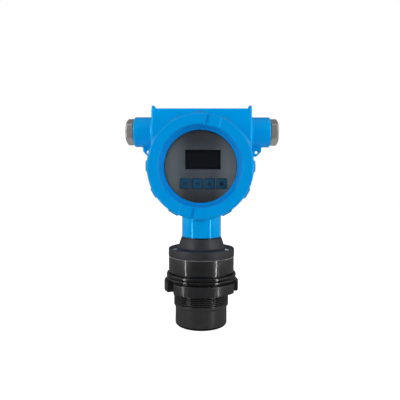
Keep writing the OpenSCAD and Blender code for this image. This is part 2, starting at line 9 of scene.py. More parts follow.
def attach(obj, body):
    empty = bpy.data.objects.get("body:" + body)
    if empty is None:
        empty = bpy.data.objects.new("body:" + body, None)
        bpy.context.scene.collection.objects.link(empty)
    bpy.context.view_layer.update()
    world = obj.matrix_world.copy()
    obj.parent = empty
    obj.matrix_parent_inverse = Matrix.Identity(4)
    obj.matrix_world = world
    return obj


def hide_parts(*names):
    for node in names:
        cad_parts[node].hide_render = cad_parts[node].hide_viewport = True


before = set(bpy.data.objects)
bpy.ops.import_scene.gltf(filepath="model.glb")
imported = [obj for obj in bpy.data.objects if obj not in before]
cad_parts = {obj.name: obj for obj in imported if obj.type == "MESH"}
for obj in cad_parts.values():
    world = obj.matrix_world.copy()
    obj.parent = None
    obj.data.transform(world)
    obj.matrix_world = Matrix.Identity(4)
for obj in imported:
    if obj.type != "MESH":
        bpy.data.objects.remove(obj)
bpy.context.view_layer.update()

# Sizes in millimetres, as the solids have them, and angles in degrees. The display faces -Y and the probe
# stands along Z. A name in _R is a radius.
MM = 0.001

# Probe head, tank thread and shoulder, by height over the probe's lower face
HEAD_R = 28.35
HEAD_H = 24.0
HEAD_EDGE = 2.8
FACE_T = 4.0
CAVITY_R = 24.45
THREAD_R = 30.0
THREAD_DEPTH = 1.2
THREAD_PITCH = 2.0
THREAD_LAND = 1.6
SHOULDER_R = 36.0
SHOULDER_Z = 57.5
SHOULDER_TOP = 75.4
SHOULDER_SETBACK = 3
SHOULDER_FOOT = 1.3
SEAM = 0.5

# Lock nut and the two rings that it presses against the shoulder
NUT_R = 40.85
NUT_LOW = 38.6
NUT_TOP = 49.1
NUT_BORE_R = 30.08
NOTCH_W = 10.5
NOTCH_DEPTH = 6.5
NOTCH_ANGLES = (-52, 68, 188)
SEAL_R = 38.3
SEAL_BORE_R = 30.3
SEAL_SETBACK = 2.6
WASHER_LOW = 49.15
WASHER_FOOT = 0.9
GASKET_LOW = 53.35
GASKET_FOOT = 0.2
GASKET_TOP = 57.45

# Adapter flange and its screws
FLANGE_R = 36.4
FLANGE_TOP = 84.2
FLANGE_GAP = 0.15
CONE_BASE_R = 25.2
CONE_TOP_R = 22.2
CONE_TOP = 95.6
SPIGOT_R = 16.0
SPIGOT_TOP = 110.6
LEAD_BORE_R = 9.0
INSERT_LOW = 71.4
INSERT_R = 24.4
SCREW_CIRCLE_R = 31.5
SCREW_COUNT = 3
SCREW_SEAT = 82.8
SCREW_LOW = 63.4
SCREW_SHANK_R = 1.4
SCREW_HEAD_R = 2.8
SCREW_HEAD_H = 2.0
SCREW_SINK_R = 3.4

# Housing: neck, drum with a square top that rises from its axis, collars, rails, bosses and lugs
NECK_R = 21.6
NECK_LOW = 96.4
SOCKET_R = 16.05
SOCKET_TOP = 111.1
DRUM_Z = 172.6
BODY_R = 53.0
BODY_RISE = 61.7
HALF_DEPTH = 28.0
WALL = 5.2
PARTITION_MID = -13.05
PARTITION_HALF = 2.0
FEED_Z = 142.6
FEED_R = 5.05
FEED_HALF = 5
CHAMBER_R = 41.0
COLLAR_R = 45.8
COLLAR_END = 40.2
COLLAR_DEPTH = 0.9
COLLAR_PITCH = 2.0
RAIL_HALF = 1.6
RAIL_HALF_LENGTH = 25.0
RAIL_SUNK = 3
RAIL_TOP = 237.6
BOSS_R = 16.55
BOSS_REACH = 74.5
BOSS_Z = 211.8
CONDUIT_R = 10.05
CONDUIT_OVERCUT = 3
LUG_HALF = 2.5
LUG_REACH = 65.6
LUG_CHAMFER = 5.4
LUG_LOW = 184.8
LUG_HOLE_X = 60.2
LUG_HOLE_Z = 189.6
LUG_HOLE_R = 1.65

# Rounding of the housing's edges, and its fillets where two forms meet
BODY_CORNER = 1.5
BODY_EDGE = 2.2
NECK_EDGE = 0.6
NECK_FILLET = 5
BOSS_EDGE = 1.4
BOSS_FILLET = 4
LUG_CORNER = 1.2
LUG_EDGE = 0.9
LUG_FILLET = 2
LUG_HOLE_EDGE = 0.5
RAIL_EDGE = 0.8
RAIL_FILLET = 0.6
COLLAR_EDGE = 0.8
COLLAR_FILLET = 1
POCKET_CORNER = 4
POCKET_EDGE = 2.5
CHAMBER_FILLET = 1
CHAMBER_EDGE = 0.8
PARTITION_FILLET = 2
CONDUIT_EDGE = 0.8
FEED_EDGE = 0.5
SOCKET_EDGE = 0.6

# Covers, measured along the drum from the housing's middle
COVER_R = 52.4
LOBE_R = 54.0
LOBE_COUNT = 12
LOBE_W = 11.2
MOUTH = 28.4
FACE = 63.0
LIP = 49.5
RING_BACK = 40.5
WINDOW_R = 36.6
BEZEL_R = 42.2
GLASS_SEAT_R = 42.3
THREAD_BORE_R = 45.88
ORING_BORE_R = 48.58
ORING_DEPTH = 2.35
SLOT_W = 16.6
SLOT_DEPTH = 4.0
SLOT_SHALLOW = 0.8
SLOT_WALL = 2.2
SLOT_BEVEL = 1.5
SLOT_TURN = 14.5
REAR_END = 58.0
REAR_WALL = 7.0
DISH_DEPTH = 1.6

# Plugs, measured outwards along the bosses
PLUG_AF = 26.0
PLUG_SEAT = 75.3
PLUG_END = 83.5
PLUG_SHANK = 12.0
PLUG_THREAD_R = 10.0
PLUG_DEPTH = 0.8
PLUG_PITCH = 1.5

# Panel, screen and keys
PANEL_BACK = -34.05
KEY_COUNT = 4
KEY_W = 10.7
KEY_H = 11.0
KEY_CORNER = 1.6
KEY_FRONT = -36.65
KEY_PITCH = 12.5
KEY_ROW_X = 2.6
KEY_Z = 155.3
KEY_FLANGE_W = 11.7
KEY_FLANGE_H = 12.4
KEY_STEM_R = 2.0
KEY_STEM_END = -31.1
SCREEN_X = 2.0
SCREEN_Z = 180.0
SCREEN_W = 36.4
SCREEN_H = 20.2


# Outlines and surfaces

def smoothstep(low, high, value):
    """0 below low, 1 above high and a soft step between them."""
    share = np.clip((value - low) / (high - low), 0, 1)
    return share * share * (3 - 2 * share)


def rounded_outline(corners, longest=None, step=18):
    """Points of an outline given by its corners (across, along, fillet radius), its fillets in steps of
    so many degrees and its straight runs cut to the longest piece."""
    corner = [np.array(c[:2], float) for c in corners]
    points = []
    for i, given in enumerate(corners):
        here = corner[i]
        radius = given[2] if len(given) > 2 else 0
        if radius == 0:
            points.append(here)
            continue
        back = corner[i - 1] - here
        ahead = corner[(i + 1) % len(corner)] - here
        back = back / np.linalg.norm(back)
        ahead = ahead / np.linalg.norm(ahead)
        half = math.acos(np.clip(back @ ahead, -1, 1)) / 2
        middle = (back + ahead) / np.linalg.norm(back + ahead)
        centre = here + middle * radius / math.sin(half)
        run = radius / math.tan(half)
        start = here + back * run - centre
        end = here + ahead * run - centre
        angle = math.atan2(start[1], start[0])
        sweep = (math.atan2(end[1], end[0]) - angle + math.pi) % (2 * math.pi) - math.pi
        count = max(2, math.ceil(abs(math.degrees(sweep)) / step))
        for k in range(count + 1):
            a = angle + sweep * k / count
            points.append(centre + radius * np.array([math.cos(a), math.sin(a)]))
    if longest:
        cut = []
        for a, b in zip(points, points[1:] + points[:1]):
            count = max(1, math.ceil(np.linalg.norm(b - a) / longest))
            cut += [a + (b - a) * k / count for k in range(count)]
        points = cut
    return np.array(points)


def to_axis(profile):
    """A profile that crosses the axis, started there and with one point only at each end of its run on it."""
    on_axis = profile[:, 0] == 0
    start = int(np.flatnonzero(on_axis & ~np.roll(on_axis, -1))[0])
    turned = np.roll(profile, -start, 0)
    return turned[:np.flatnonzero(turned[:, 0] > 0)[-1] + 2]


def even_turn(steps):
    """Angles of one full turn in equal steps."""
    return np.linspace(0, 2 * math.pi, steps, endpoint=False)


def lathe(profile, turn, warp=None):
    """A profile of (radius, along) turned about its axis by these angles, as points (across, up, along) and
    faces. warp(radius, along, angle) may push the points. The angle runs clockwise from up."""
    steps = len(turn)
    radius = np.repeat(profile[:, :1], steps, 1)
    along = np.repeat(profile[:, 1:], steps, 1)
    angle = np.repeat(turn[None, :], len(profile), 0)
    if warp:
        radius, along = warp(radius, along, angle)
    points = np.stack([radius * np.sin(angle), radius * np.cos(angle), along], -1).reshape(-1, 3)
    on_axis = profile[0, 0] == 0 and profile[-1, 0] == 0
    rows, columns = np.meshgrid(np.arange(len(profile) - on_axis), np.arange(steps), indexing="ij")
    below = (rows + 1) % len(profile)
    beside = (columns + 1) % steps
    faces = np.stack([
        rows * steps + columns, rows * steps + beside,
        below * steps + beside, below * steps + columns], -1)
    return points, faces.reshape(-1, 4).tolist()


def loft(loops):
    """Loops of points of equal count, joined in order and closed by a flat face at both ends."""
    count = len(loops[0])
    points = np.concatenate(loops)
    faces = [[k * count + i, k * count + (i + 1) % count,
              (k + 1) * count + (i + 1) % count, (k + 1) * count + i]
             for k in range(len(loops) - 1) for i in range(count)]
    last = (len(loops) - 1) * count
    return points, faces + [list(range(count)), list(range(last, last + count))]


def upright(points):
    """Turned points set along the probe, with up to the front."""
    return np.stack([points[:, 0], -points[:, 1], points[:, 2]], -1)


def on_drum(points):
    """Turned points set on the drum's axis, which runs along Y."""
    return np.stack([points[:, 0], points[:, 2], DRUM_Z + points[:, 1]], -1)


def on_boss(points, side):
    """Turned points set outwards along a conduit boss, side -1 or 1."""
    return np.stack([side * points[:, 2], points[:, 0], BOSS_Z + points[:, 1]], -1)


def on_panel(outline, x, y, z):
    """An outline's points set facing the front at this place."""
    return np.stack([x + outline[:, 0], np.full(len(outline), y), z + outline[:, 1]], -1)


# A cast body, as the surface where a distance is zero

def soft_union(a, b, fillet):
    """The nearer of two distances, with a fillet where they meet."""
    near = np.maximum(fillet - np.abs(a - b), 0) / fillet
    return np.minimum(a, b) - near * near * fillet / 4


def soft_cut(a, b, edge):
    """a without b, its new edges rounded."""
    return -soft_union(-a, b, edge)


def rounded_corner(a, b, edge):
    """Distance to where both a and b are negative, with a rounded edge."""
    a, b = a + edge, b + edge
    return np.hypot(np.maximum(a, 0), np.maximum(b, 0)) + np.minimum(np.maximum(a, b), 0) - edge


def slab(outline, across, half, edge):
    """Distance to an outline's slab of the given half thickness, with rounded edges."""
    return rounded_corner(outline, np.abs(across) - half, edge)


def body_outline(x, z, inset, corner):
    """Distance to the body's outline, round below and square above the drum's axis."""
    r = BODY_R - inset
    up = z - DRUM_Z
    square = rounded_corner(np.abs(x) - r, up - BODY_RISE + inset, corner)
    return np.where(up < 0, np.hypot(x, up) - r, square)


def housing_distance(x, y, z):
    """Distance to the housing's cast surface, negative inside the metal."""
    side = np.abs(x)
    from_drum = np.hypot(x, z - DRUM_Z)
    from_probe = np.hypot(x, y)
    from_conduit = np.hypot(y, z - BOSS_Z)
    body = slab(body_outline(x, z, 0, BODY_CORNER), y, HALF_DEPTH, BODY_EDGE)

    neck_half = (DRUM_Z - BODY_R + WALL - NECK_LOW) / 2
    neck = slab(from_probe - NECK_R, z - NECK_LOW - neck_half, neck_half, NECK_EDGE)
    body = soft_union(body, neck, NECK_FILLET)

    boss_low = BODY_R - WALL
    boss_half = (BOSS_REACH - boss_low) / 2
    boss = slab(from_conduit - BOSS_R, side - boss_low - boss_half, boss_half, BOSS_EDGE)
    body = soft_union(body, boss, BOSS_FILLET)

    chamfer = (side - LUG_REACH + LUG_CHAMFER - z + LUG_LOW) / math.sqrt(2)
    lug = soft_cut(np.maximum(side - LUG_REACH, LUG_LOW - z), -chamfer, LUG_CORNER)
    lug = slab(np.maximum(np.maximum(lug, z - BOSS_Z), boss_low - side), y, LUG_HALF, LUG_EDGE)
    body = soft_union(body, lug, LUG_FILLET)
    lug_hole = np.hypot(side - LUG_HOLE_X, z - LUG_HOLE_Z) - LUG_HOLE_R
    body = soft_cut(body, lug_hole, LUG_HOLE_EDGE)

    rail_foot = DRUM_Z + BODY_RISE - RAIL_SUNK
    rail_half = (RAIL_TOP - rail_foot) / 2
    rail = np.abs(side - BODY_R + RAIL_HALF) - RAIL_HALF
    rail = slab(rail, z - rail_foot - rail_half, rail_half, RAIL_EDGE)
    body = soft_union(body, slab(rail, y, RAIL_HALF_LENGTH, RAIL_EDGE), RAIL_FILLET)

    collar = slab(from_drum - COLLAR_R + COLLAR_DEPTH, y, COLLAR_END, COLLAR_EDGE)
    body = soft_union(body, collar, COLLAR_FILLET)

    # Two chambers and the wall between them, then the bores
    pocket = slab(body_outline(x, z, WALL, POCKET_CORNER), y, HALF_DEPTH - WALL, POCKET_EDGE)
    chamber = soft_union(pocket, from_drum - CHAMBER_R, CHAMBER_FILLET)
    partition = PARTITION_HALF - np.abs(y - PARTITION_MID)
    chamber = soft_cut(chamber, -partition, PARTITION_FILLET)
    body = soft_cut(body, chamber, CHAMBER_EDGE)
    conduit = np.maximum(from_conduit - CONDUIT_R, boss_low - CONDUIT_OVERCUT - side)
    body = soft_cut(body, conduit, CONDUIT_EDGE)
    feed = np.maximum(np.hypot(x, z - FEED_Z) - FEED_R, np.abs(y - PARTITION_MID) - FEED_HALF)
    body = soft_cut(body, feed, FEED_EDGE)
    bore = np.maximum(from_probe - LEAD_BORE_R, z - DRUM_Z + BODY_R - 2 * WALL)
    socket = np.maximum(from_probe - SOCKET_R, z - SOCKET_TOP)
    return soft_cut(body, np.minimum(bore, socket), SOCKET_EDGE)


def grid_line(low, high, coarse, fine, zones):
    """Places from low to high, close together inside the zones."""
    places = [low]
    while places[-1] < high:
        here = places[-1]
        places.append(here + (fine if any(a <= here < b for a, b in zones) else coarse))
    return np.array(places)


def slope_of(distance, points):
    """How fast the distance grows at these points, along each axis."""
    reach = 0.03
    sides = []
    for axis in np.eye(3) * reach:
        sides.append(distance(*(points + axis).T) - distance(*(points - axis).T))
    return np.stack(sides, -1) / (2 * reach)


def cast_surface(distance, lines):
    """Closed mesh of the surface where distance is zero, one point for each cell of the grid that the
    surface passes, as points, faces and the surface's own normals."""
    value = distance(*np.meshgrid(*lines, indexing="ij"))
    cells = tuple(n - 1 for n in value.shape)
    total = np.zeros(cells + (3,))
    count = np.zeros(cells)
    quads = []
    for axis in range(3):
        low = [slice(None)] * 3
        high = [slice(None)] * 3
        low[axis] = slice(0, -1)
        high[axis] = slice(1, None)
        first = value[tuple(low)]
        second = value[tuple(high)]
        crossed = (first < 0) != (second < 0)
        index = np.stack(np.nonzero(crossed), -1)
        share = first[crossed] / (first[crossed] - second[crossed])
        place = np.stack([line[index[:, k]] for k, line in enumerate(lines)], -1)
        line = lines[axis]
        place[:, axis] += share * (line[index[:, axis] + 1] - line[index[:, axis]])
        u = (axis + 1) % 3
        v = (axis + 2) % 3
        around = []
        for du, dv in ((0, 0), (-1, 0), (-1, -1), (0, -1)):
            cell = index.copy()
            cell[:, u] += du
            cell[:, v] += dv
            np.add.at(total, tuple(cell.T), place)
            np.add.at(count, tuple(cell.T), 1)
            around.append(cell)
        quads.append((np.stack(around, 1), first[crossed] < 0))
    used = count > 0
    number = np.full(cells, -1)
    number[used] = np.arange(used.sum())
    points = total[used] / count[used][:, None]
    # The points settle on the surface in a few rounds of short moves
    settle_rounds = 5
    longest_move = 0.4
    least_steep = 0.25
    for _ in range(settle_rounds):
        slope = slope_of(distance, points)
        steep = np.maximum((slope ** 2).sum(-1), least_steep)
        points -= slope * np.clip(distance(*points.T) / steep, -longest_move, longest_move)[:, None]
    slope = slope_of(distance, points)
    normals = slope / np.linalg.norm(slope, axis=1)[:, None]
    faces = []
    for around, outwards in quads:
        corners = number[tuple(np.moveaxis(around, -1, 0))]
        faces += np.where(outwards[:, None], corners, corners[:, ::-1]).tolist()
    return points, faces, normals


# Nodes, meshes and objects

def node(tree, kind, inputs=None, **settings):
    """Adds a node, with its settings and with each input's value or the socket that feeds it."""
    made = tree.nodes.new(kind)
    for key, value in settings.items():
        setattr(made, key, value)
    for key, value in (inputs or {}).items():
        if isinstance(value, bpy.types.NodeSocket):
            tree.links.new(value, made.inputs[key])
        else:
            made.inputs[key].default_value = value
    return made


def linear(code):
    """An sRGB hex colour as linear red, green, blue and alpha."""
    parts = [int(code[i:i + 2], 16) / 255 for i in (1, 3, 5)]
    return tuple(p / 12.92 if p <= 0.04045 else ((p + 0.055) / 1.055) ** 2.4 for p in parts) + (1.0,)


def mesh_of(name, shells):
    """One mesh from shells of (points in millimetres, faces, material)."""
    points, faces, slots, materials = [], [], [], []
    start = 0
    for shell_points, shell_faces, material in shells:
        if material not in materials:
            materials.append(material)
        points.append(np.asarray(shell_points) * MM)
        faces += [[start + i for i in face] for face in shell_faces]
        slots += [materials.index(material)] * len(shell_faces)
        start += len(shell_points)
    mesh = bpy.data.meshes.new(name)
    mesh.from_pydata(np.concatenate(points).tolist(), [], faces)
    for material in materials:
        mesh.materials.append(material)
    mesh.polygons.foreach_set("material_index", slots)
    return mesh


def shells_by_rows(points, faces, finishes):
    """Shells of a turned piece with more than one finish, given as (rows of its profile, material)."""
    shells = []
    for rows, material in finishes:
        chosen = np.repeat(rows, len(faces) // len(rows))
        shells.append((points, [face for face, use in zip(faces, chosen) if use], material))
    return shells


def close_seams(mesh):
    """Merges doubles, drops faces without area and turns the faces outwards."""
    work = bmesh.new()
    work.from_mesh(mesh)
    bmesh.ops.remove_doubles(work, verts=work.verts, dist=1e-6)
    bmesh.ops.dissolve_degenerate(work, edges=work.edges, dist=1e-7)
    bmesh.ops.recalc_face_normals(work, faces=work.faces)
    work.to_mesh(mesh)
    work.free()


def add_object(name, data):
    """A new object in the scene, at the origin."""
    made = bpy.data.objects.new(name, data)
    bpy.context.scene.collection.objects.link(made)
    return made


def finished_mesh(source):
    """The plain mesh that an object's modifiers give."""
    seen = source.evaluated_get(bpy.context.evaluated_depsgraph_get())
    return bpy.data.meshes.new_from_object(seen)


def place_piece(name, mesh, body, replaced=(), sharp=35, normals=None):
    """Makes the mesh a piece of the object, riding on a body and standing for CAD nodes. Its edges are sharp
    from so many degrees, unless the normals are given."""
    if normals is None:
        close_seams(mesh)
    mesh.shade_smooth()
    if normals is None:
        mesh.set_sharp_from_angle(angle=math.radians(sharp))
    else:
        mesh.normals_split_custom_set_from_vertices(normals.tolist())
    mesh.name = name
    piece = add_object(name, mesh)
    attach(piece, body)
    if replaced:
        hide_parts(*replaced)
    return piece


def grow(tree, values):
    """The plain mesh that a Geometry Nodes tree gives for these named inputs."""
    holder = bpy.data.objects.new(tree.name, bpy.data.meshes.new(tree.name))
    modifier = holder.modifiers.new(tree.name, "NODES")
    modifier.node_group = tree
    for item in tree.interface.items_tree:
        if item.in_out == "INPUT":
            modifier[item.identifier] = values[item.name]
    bpy.context.scene.collection.objects.link(holder)
    mesh = finished_mesh(holder)
    holder.modifiers.clear()
    bpy.data.objects.remove(holder)
    return mesh


# Materials

# A colour Mix takes its share at input 0 and its colours at 6 and 7. A Map Range takes its value at input 0,
# then the lowest and highest of what comes in and of what goes out.

def blank_material(name):
    """A new material and its emptied node tree."""
    material = bpy.data.materials.new(name)
    material.use_nodes = True
    material.node_tree.nodes.clear()
    return material, material.node_tree


def painted_casting(name, shade, lighter, gleam=0.5):
    """Die-cast aluminium under glossy blue stoving enamel: a level, wet-looking film with a faint orange
    peel and slow drifts of tone where the coat is thicker. Where overspray settles it has less gleam."""
    drift_mm = 22
    cloud_mm = 6
    peel_mm = 1.5
    peel_depth_mm = 0.3
    material, tree = blank_material(name)
    place = node(tree, "ShaderNodeTexCoord").outputs["Object"]
    drift = node(tree, "ShaderNodeTexNoise", {"Vector": place, "Scale": 1 / (drift_mm * MM), "Detail": 3})
    tone = node(tree, "ShaderNodeMix", {0: drift.outputs[0], 6: linear(shade), 7: linear(lighter)},
                data_type="RGBA")
    cloud = node(tree, "ShaderNodeTexNoise", {"Vector": place, "Scale": 1 / (cloud_mm * MM), "Detail": 2})
    gloss = node(tree, "ShaderNodeMapRange", {0: cloud.outputs[0], 1: 0.3, 2: 0.7, 3: 0.07, 4: 0.11})
    peel = node(tree, "ShaderNodeTexNoise", {"Vector": place, "Scale": 1 / (peel_mm * MM), "Detail": 1})
    bump = node(tree, "ShaderNodeBump", {
        "Strength": 0.02, "Distance": peel_depth_mm * MM, "Height": peel.outputs[0]})
    paint = node(tree, "ShaderNodeBsdfPrincipled", {
        "Base Color": tone.outputs[2], "Roughness": gloss.outputs[0], "Normal": bump.outputs[0],
        "IOR": 1.5, "Specular IOR Level": gleam, "Specular Tint": linear("#66ECFF")})
    node(tree, "ShaderNodeOutputMaterial", {"Surface": paint.outputs[0]})
    return material


def moulded_plastic(name, shade, lighter, rough_low, rough_high, grain_mm, grain_depth_mm, skin=0.0,
                    gleam=0.5):
    """Moulded plastic, its surface that of the tool: an even grain and slow changes of gloss. A smooth
    moulding skin gives a thin sharp gleam over the soft one, and a dull face has little gleam."""
    cloud_mm = 9
    material, tree = blank_material(name)
    place = node(tree, "ShaderNodeTexCoord").outputs["Object"]
    cloud = node(tree, "ShaderNodeTexNoise", {"Vector": place, "Scale": 1 / (cloud_mm * MM), "Detail": 4})
    tone = node(tree, "ShaderNodeMix", {0: cloud.outputs[0], 6: linear(shade), 7: linear(lighter)},
                data_type="RGBA")
    gloss = node(tree, "ShaderNodeMapRange", {
        0: cloud.outputs[0], 1: 0.3, 2: 0.7, 3: rough_low, 4: rough_high})
    grain = node(tree, "ShaderNodeTexNoise", {"Vector": place, "Scale": 1 / (grain_mm * MM), "Detail": 2})
    bump = node(tree, "ShaderNodeBump", {
        "Strength": 0.25, "Distance": grain_depth_mm * MM, "Height": grain.outputs[0]})
    plastic = node(tree, "ShaderNodeBsdfPrincipled", {
        "Base Color": tone.outputs[2], "Roughness": gloss.outputs[0], "Normal": bump.outputs[0], "IOR": 1.5,
        "Specular IOR Level": gleam, "Coat Weight": skin, "Coat Roughness": 0.06})
    node(tree, "ShaderNodeOutputMaterial", {"Surface": plastic.outputs[0]})
    return material


def cut_thread():
    """Thread cut in black PVC: paler crests as painted light and near-black roots as painted shade."""
    rub_mm = 4
    material, tree = blank_material("black_cut_pvc_thread")
    place = node(tree, "ShaderNodeTexCoord").outputs["Object"]
    across = node(tree, "ShaderNodeVectorMath", {0: place, 1: (1, 1, 0)}, operation="MULTIPLY")
    radius = node(tree, "ShaderNodeVectorMath", {0: across.outputs[0]}, operation="LENGTH")
    # Painted shade in the roots and painted light on the crests, by the distance from the axis
    crest = node(tree, "ShaderNodeMapRange", {
        0: radius.outputs["Value"], 1: (THREAD_R - 0.5 * THREAD_DEPTH) * MM, 2: (THREAD_R - 0.05) * MM})
    tone = node(tree, "ShaderNodeMix", {0: crest.outputs[0], 6: linear("#070707"), 7: linear("#313132")},
                data_type="RGBA")
    rub = node(tree, "ShaderNodeTexNoise", {"Vector": place, "Scale": 1 / (rub_mm * MM), "Detail": 2})
    gloss = node(tree, "ShaderNodeMapRange", {0: rub.outputs[0], 1: 0.3, 2: 0.7, 3: 0.26, 4: 0.34})
    plastic = node(tree, "ShaderNodeBsdfPrincipled", {
        "Base Color": tone.outputs[2], "Roughness": gloss.outputs[0], "IOR": 1.5})
    node(tree, "ShaderNodeOutputMaterial", {"Surface": plastic.outputs[0]})
    return material


def worked_metal(name, shade, darker, rough_low, rough_high, lines_mm, stretch):
    """Bare turned or milled metal: fine tool lines along one direction and a faint stain."""
    stain_mm = 6
    line_depth_mm = 0.04
    material, tree = blank_material(name)
    place = node(tree, "ShaderNodeTexCoord").outputs["Object"]
    along = node(tree, "ShaderNodeMapping", {"Vector": place, "Scale": stretch})
    lines = node(tree, "ShaderNodeTexNoise", {
        "Vector": along.outputs[0], "Scale": 1 / (lines_mm * MM), "Detail": 3})
    stain = node(tree, "ShaderNodeTexNoise", {"Vector": place, "Scale": 1 / (stain_mm * MM), "Detail": 3})
    tone = node(tree, "ShaderNodeMix", {0: stain.outputs[0], 6: linear(darker), 7: linear(shade)},
                data_type="RGBA")
    gloss = node(tree, "ShaderNodeMapRange", {
        0: lines.outputs[0], 1: 0.3, 2: 0.7, 3: rough_low, 4: rough_high})
    bump = node(tree, "ShaderNodeBump", {
        "Strength": 0.3, "Distance": line_depth_mm * MM, "Height": lines.outputs[0]})
    metal = node(tree, "ShaderNodeBsdfPrincipled", {
        "Base Color": tone.outputs[2], "Roughness": gloss.outputs[0], "Normal": bump.outputs[0],
        "Metallic": 1.0})
    node(tree, "ShaderNodeOutputMaterial", {"Surface": metal.outputs[0]})
    return material


def window_glass():
    """Float glass, clear and polished: it mirrors a little of the room and lets the rest through."""
    material, tree = blank_material("polished_float_glass")
    facing = node(tree, "ShaderNodeLayerWeight", {"Blend": 0.5})
    steep = node(tree, "ShaderNodeMath", {0: facing.outputs["Facing"], 1: 5.0}, operation="POWER")
    share = node(tree, "ShaderNodeMapRange", {0: steep.outputs[0], 3: 0.04, 4: 1.0})
    clear = node(tree, "ShaderNodeBsdfTransparent", {"Color": linear("#F6FAF9")})
    mirror = node(tree, "ShaderNodeBsdfGlossy", {"Roughness": 0.02})
    both = node(tree, "ShaderNodeMixShader", {0: share.outputs[0], 1: clear.outputs[0], 2: mirror.outputs[0]})
    node(tree, "ShaderNodeOutputMaterial", {"Surface": both.outputs[0]})
    return material


def film_with_painted_shade_and_light():
    """Screen-printed polycarbonate film on the panel: grey ink under a fine matt texture, with painted shade
    that makes it darker in the middle and at the foot, and painted light that makes it paler towards both
    sides."""
    cloud_mm = 12
    # The film's texture is about 0.4 mm. It is drawn coarser, so that it shows.
    texture_mm = 0.6
    texture_depth_mm = 0.05
    # Where the painted light on both sides begins and ends, from the middle, and where the painted shade at
    # the foot begins and ends, from the keys' middle
    side_light_from, side_light_to = 12, 30
    foot_shade_from, foot_shade_to = 2, -12
    material, tree = blank_material("grey_printed_polycarbonate_film")
    place = node(tree, "ShaderNodeTexCoord").outputs["Object"]
    cloud = node(tree, "ShaderNodeTexNoise", {"Vector": place, "Scale": 1 / (cloud_mm * MM), "Detail": 3})
    parts = node(tree, "ShaderNodeSeparateXYZ", {0: place})
    aside = node(tree, "ShaderNodeMath", {0: parts.outputs[0]}, operation="ABSOLUTE")
    # Painted light: the film turns paler towards both sides
    side = node(tree, "ShaderNodeMapRange", {0: aside.outputs[0], 1: side_light_from * MM, 2: side_light_to * MM},
                interpolation_type="SMOOTHSTEP")
    # Painted shade: the film turns darker towards the foot
    foot = node(tree, "ShaderNodeMapRange", {
        0: parts.outputs[2], 1: (KEY_Z + foot_shade_from) * MM, 2: (KEY_Z + foot_shade_to) * MM,
    }, interpolation_type="SMOOTHSTEP")
    # The ink's grey with the painted shade at the foot, then the painted light on both sides
    ink = node(tree, "ShaderNodeMix", {0: foot.outputs[0], 6: linear("#69666D"), 7: linear("#57555C")},
               data_type="RGBA")
    ink = node(tree, "ShaderNodeMix", {0: side.outputs[0], 6: ink.outputs[2], 7: linear("#949297")},
               data_type="RGBA")
    faded = node(tree, "ShaderNodeMapRange", {0: cloud.outputs[0], 1: 0.3, 2: 0.7, 3: 0.0, 4: 0.06})
    tone = node(tree, "ShaderNodeMix", {0: faded.outputs[0], 6: ink.outputs[2], 7: linear("#B4B8BE")},
                data_type="RGBA")
    texture = node(tree, "ShaderNodeTexVoronoi", {"Vector": place, "Scale": 1 / (texture_mm * MM)})
    bump = node(tree, "ShaderNodeBump", {
        "Strength": 0.12, "Distance": texture_depth_mm * MM, "Height": texture.outputs[0]})
    film = node(tree, "ShaderNodeBsdfPrincipled", {
        "Base Color": tone.outputs[2], "Roughness": 0.5, "Normal": bump.outputs[0], "IOR": 1.58})
    node(tree, "ShaderNodeOutputMaterial", {"Surface": film.outputs[0]})
    return material


def dark_screen():
    """Display glass, switched off: a black border and a slightly paler field of fine dots."""
    border_aside = 1.6
    border_above = 1.8
    # The dots are about 0.28 mm. They are drawn coarser, so that they show.
    dot_mm = 0.5
    material, tree = blank_material("unlit_display_glass")
    place = node(tree, "ShaderNodeTexCoord").outputs["Object"]
    centred = node(tree, "ShaderNodeVectorMath", {0: place, 1: (SCREEN_X * MM, 0, SCREEN_Z * MM)},
                   operation="SUBTRACT")
    apart = node(tree, "ShaderNodeVectorMath", {0: centred.outputs[0]}, operation="ABSOLUTE")
    parts = node(tree, "ShaderNodeSeparateXYZ", {0: apart.outputs[0]})
    wide = node(tree, "ShaderNodeMath", {0: parts.outputs[0], 1: (SCREEN_W / 2 - border_aside) * MM},
                operation="LESS_THAN")
    high = node(tree, "ShaderNodeMath", {0: parts.outputs[2], 1: (SCREEN_H / 2 - border_above) * MM},
                operation="LESS_THAN")
    field = node(tree, "ShaderNodeMath", {0: wide.outputs[0], 1: high.outputs[0]}, operation="MULTIPLY")
    dots = node(tree, "ShaderNodeTexChecker", {
        "Vector": place, "Scale": 1 / (dot_mm * MM),
        "Color1": linear("#1A1A24"), "Color2": linear("#1E1E29")})
    tone = node(tree, "ShaderNodeMix", {0: field.outputs[0], 6: linear("#0E0E16"), 7: dots.outputs[0]},
                data_type="RGBA")
    glass = node(tree, "ShaderNodeBsdfPrincipled", {
        "Base Color": tone.outputs[2], "Roughness": 0.12, "IOR": 1.5})
    node(tree, "ShaderNodeOutputMaterial", {"Surface": glass.outputs[0]})
    return material


def circuit_board():
    """Glass-epoxy board under green solder mask, with copper tracks showing through."""
    track_cell_mm = 4
    material, tree = blank_material("green_glass_epoxy_board")
    place = node(tree, "ShaderNodeTexCoord").outputs["Object"]
    turned = node(tree, "ShaderNodeMapping", {"Vector": place, "Rotation": (math.radians(90), 0, 0)})
    tracks = node(tree, "ShaderNodeTexBrick", {
        "Vector": turned.outputs[0], "Scale": 1 / (track_cell_mm * MM), "Mortar Size": 0.08,
        "Color1": linear("#0F4A2A"), "Color2": linear("#124F2D"), "Mortar": linear("#2C7A45")})
    board = node(tree, "ShaderNodeBsdfPrincipled", {
        "Base Color": tracks.outputs[0], "Roughness": 0.35, "IOR": 1.55})
    node(tree, "ShaderNodeOutputMaterial", {"Surface": board.outputs[0]})
    return material


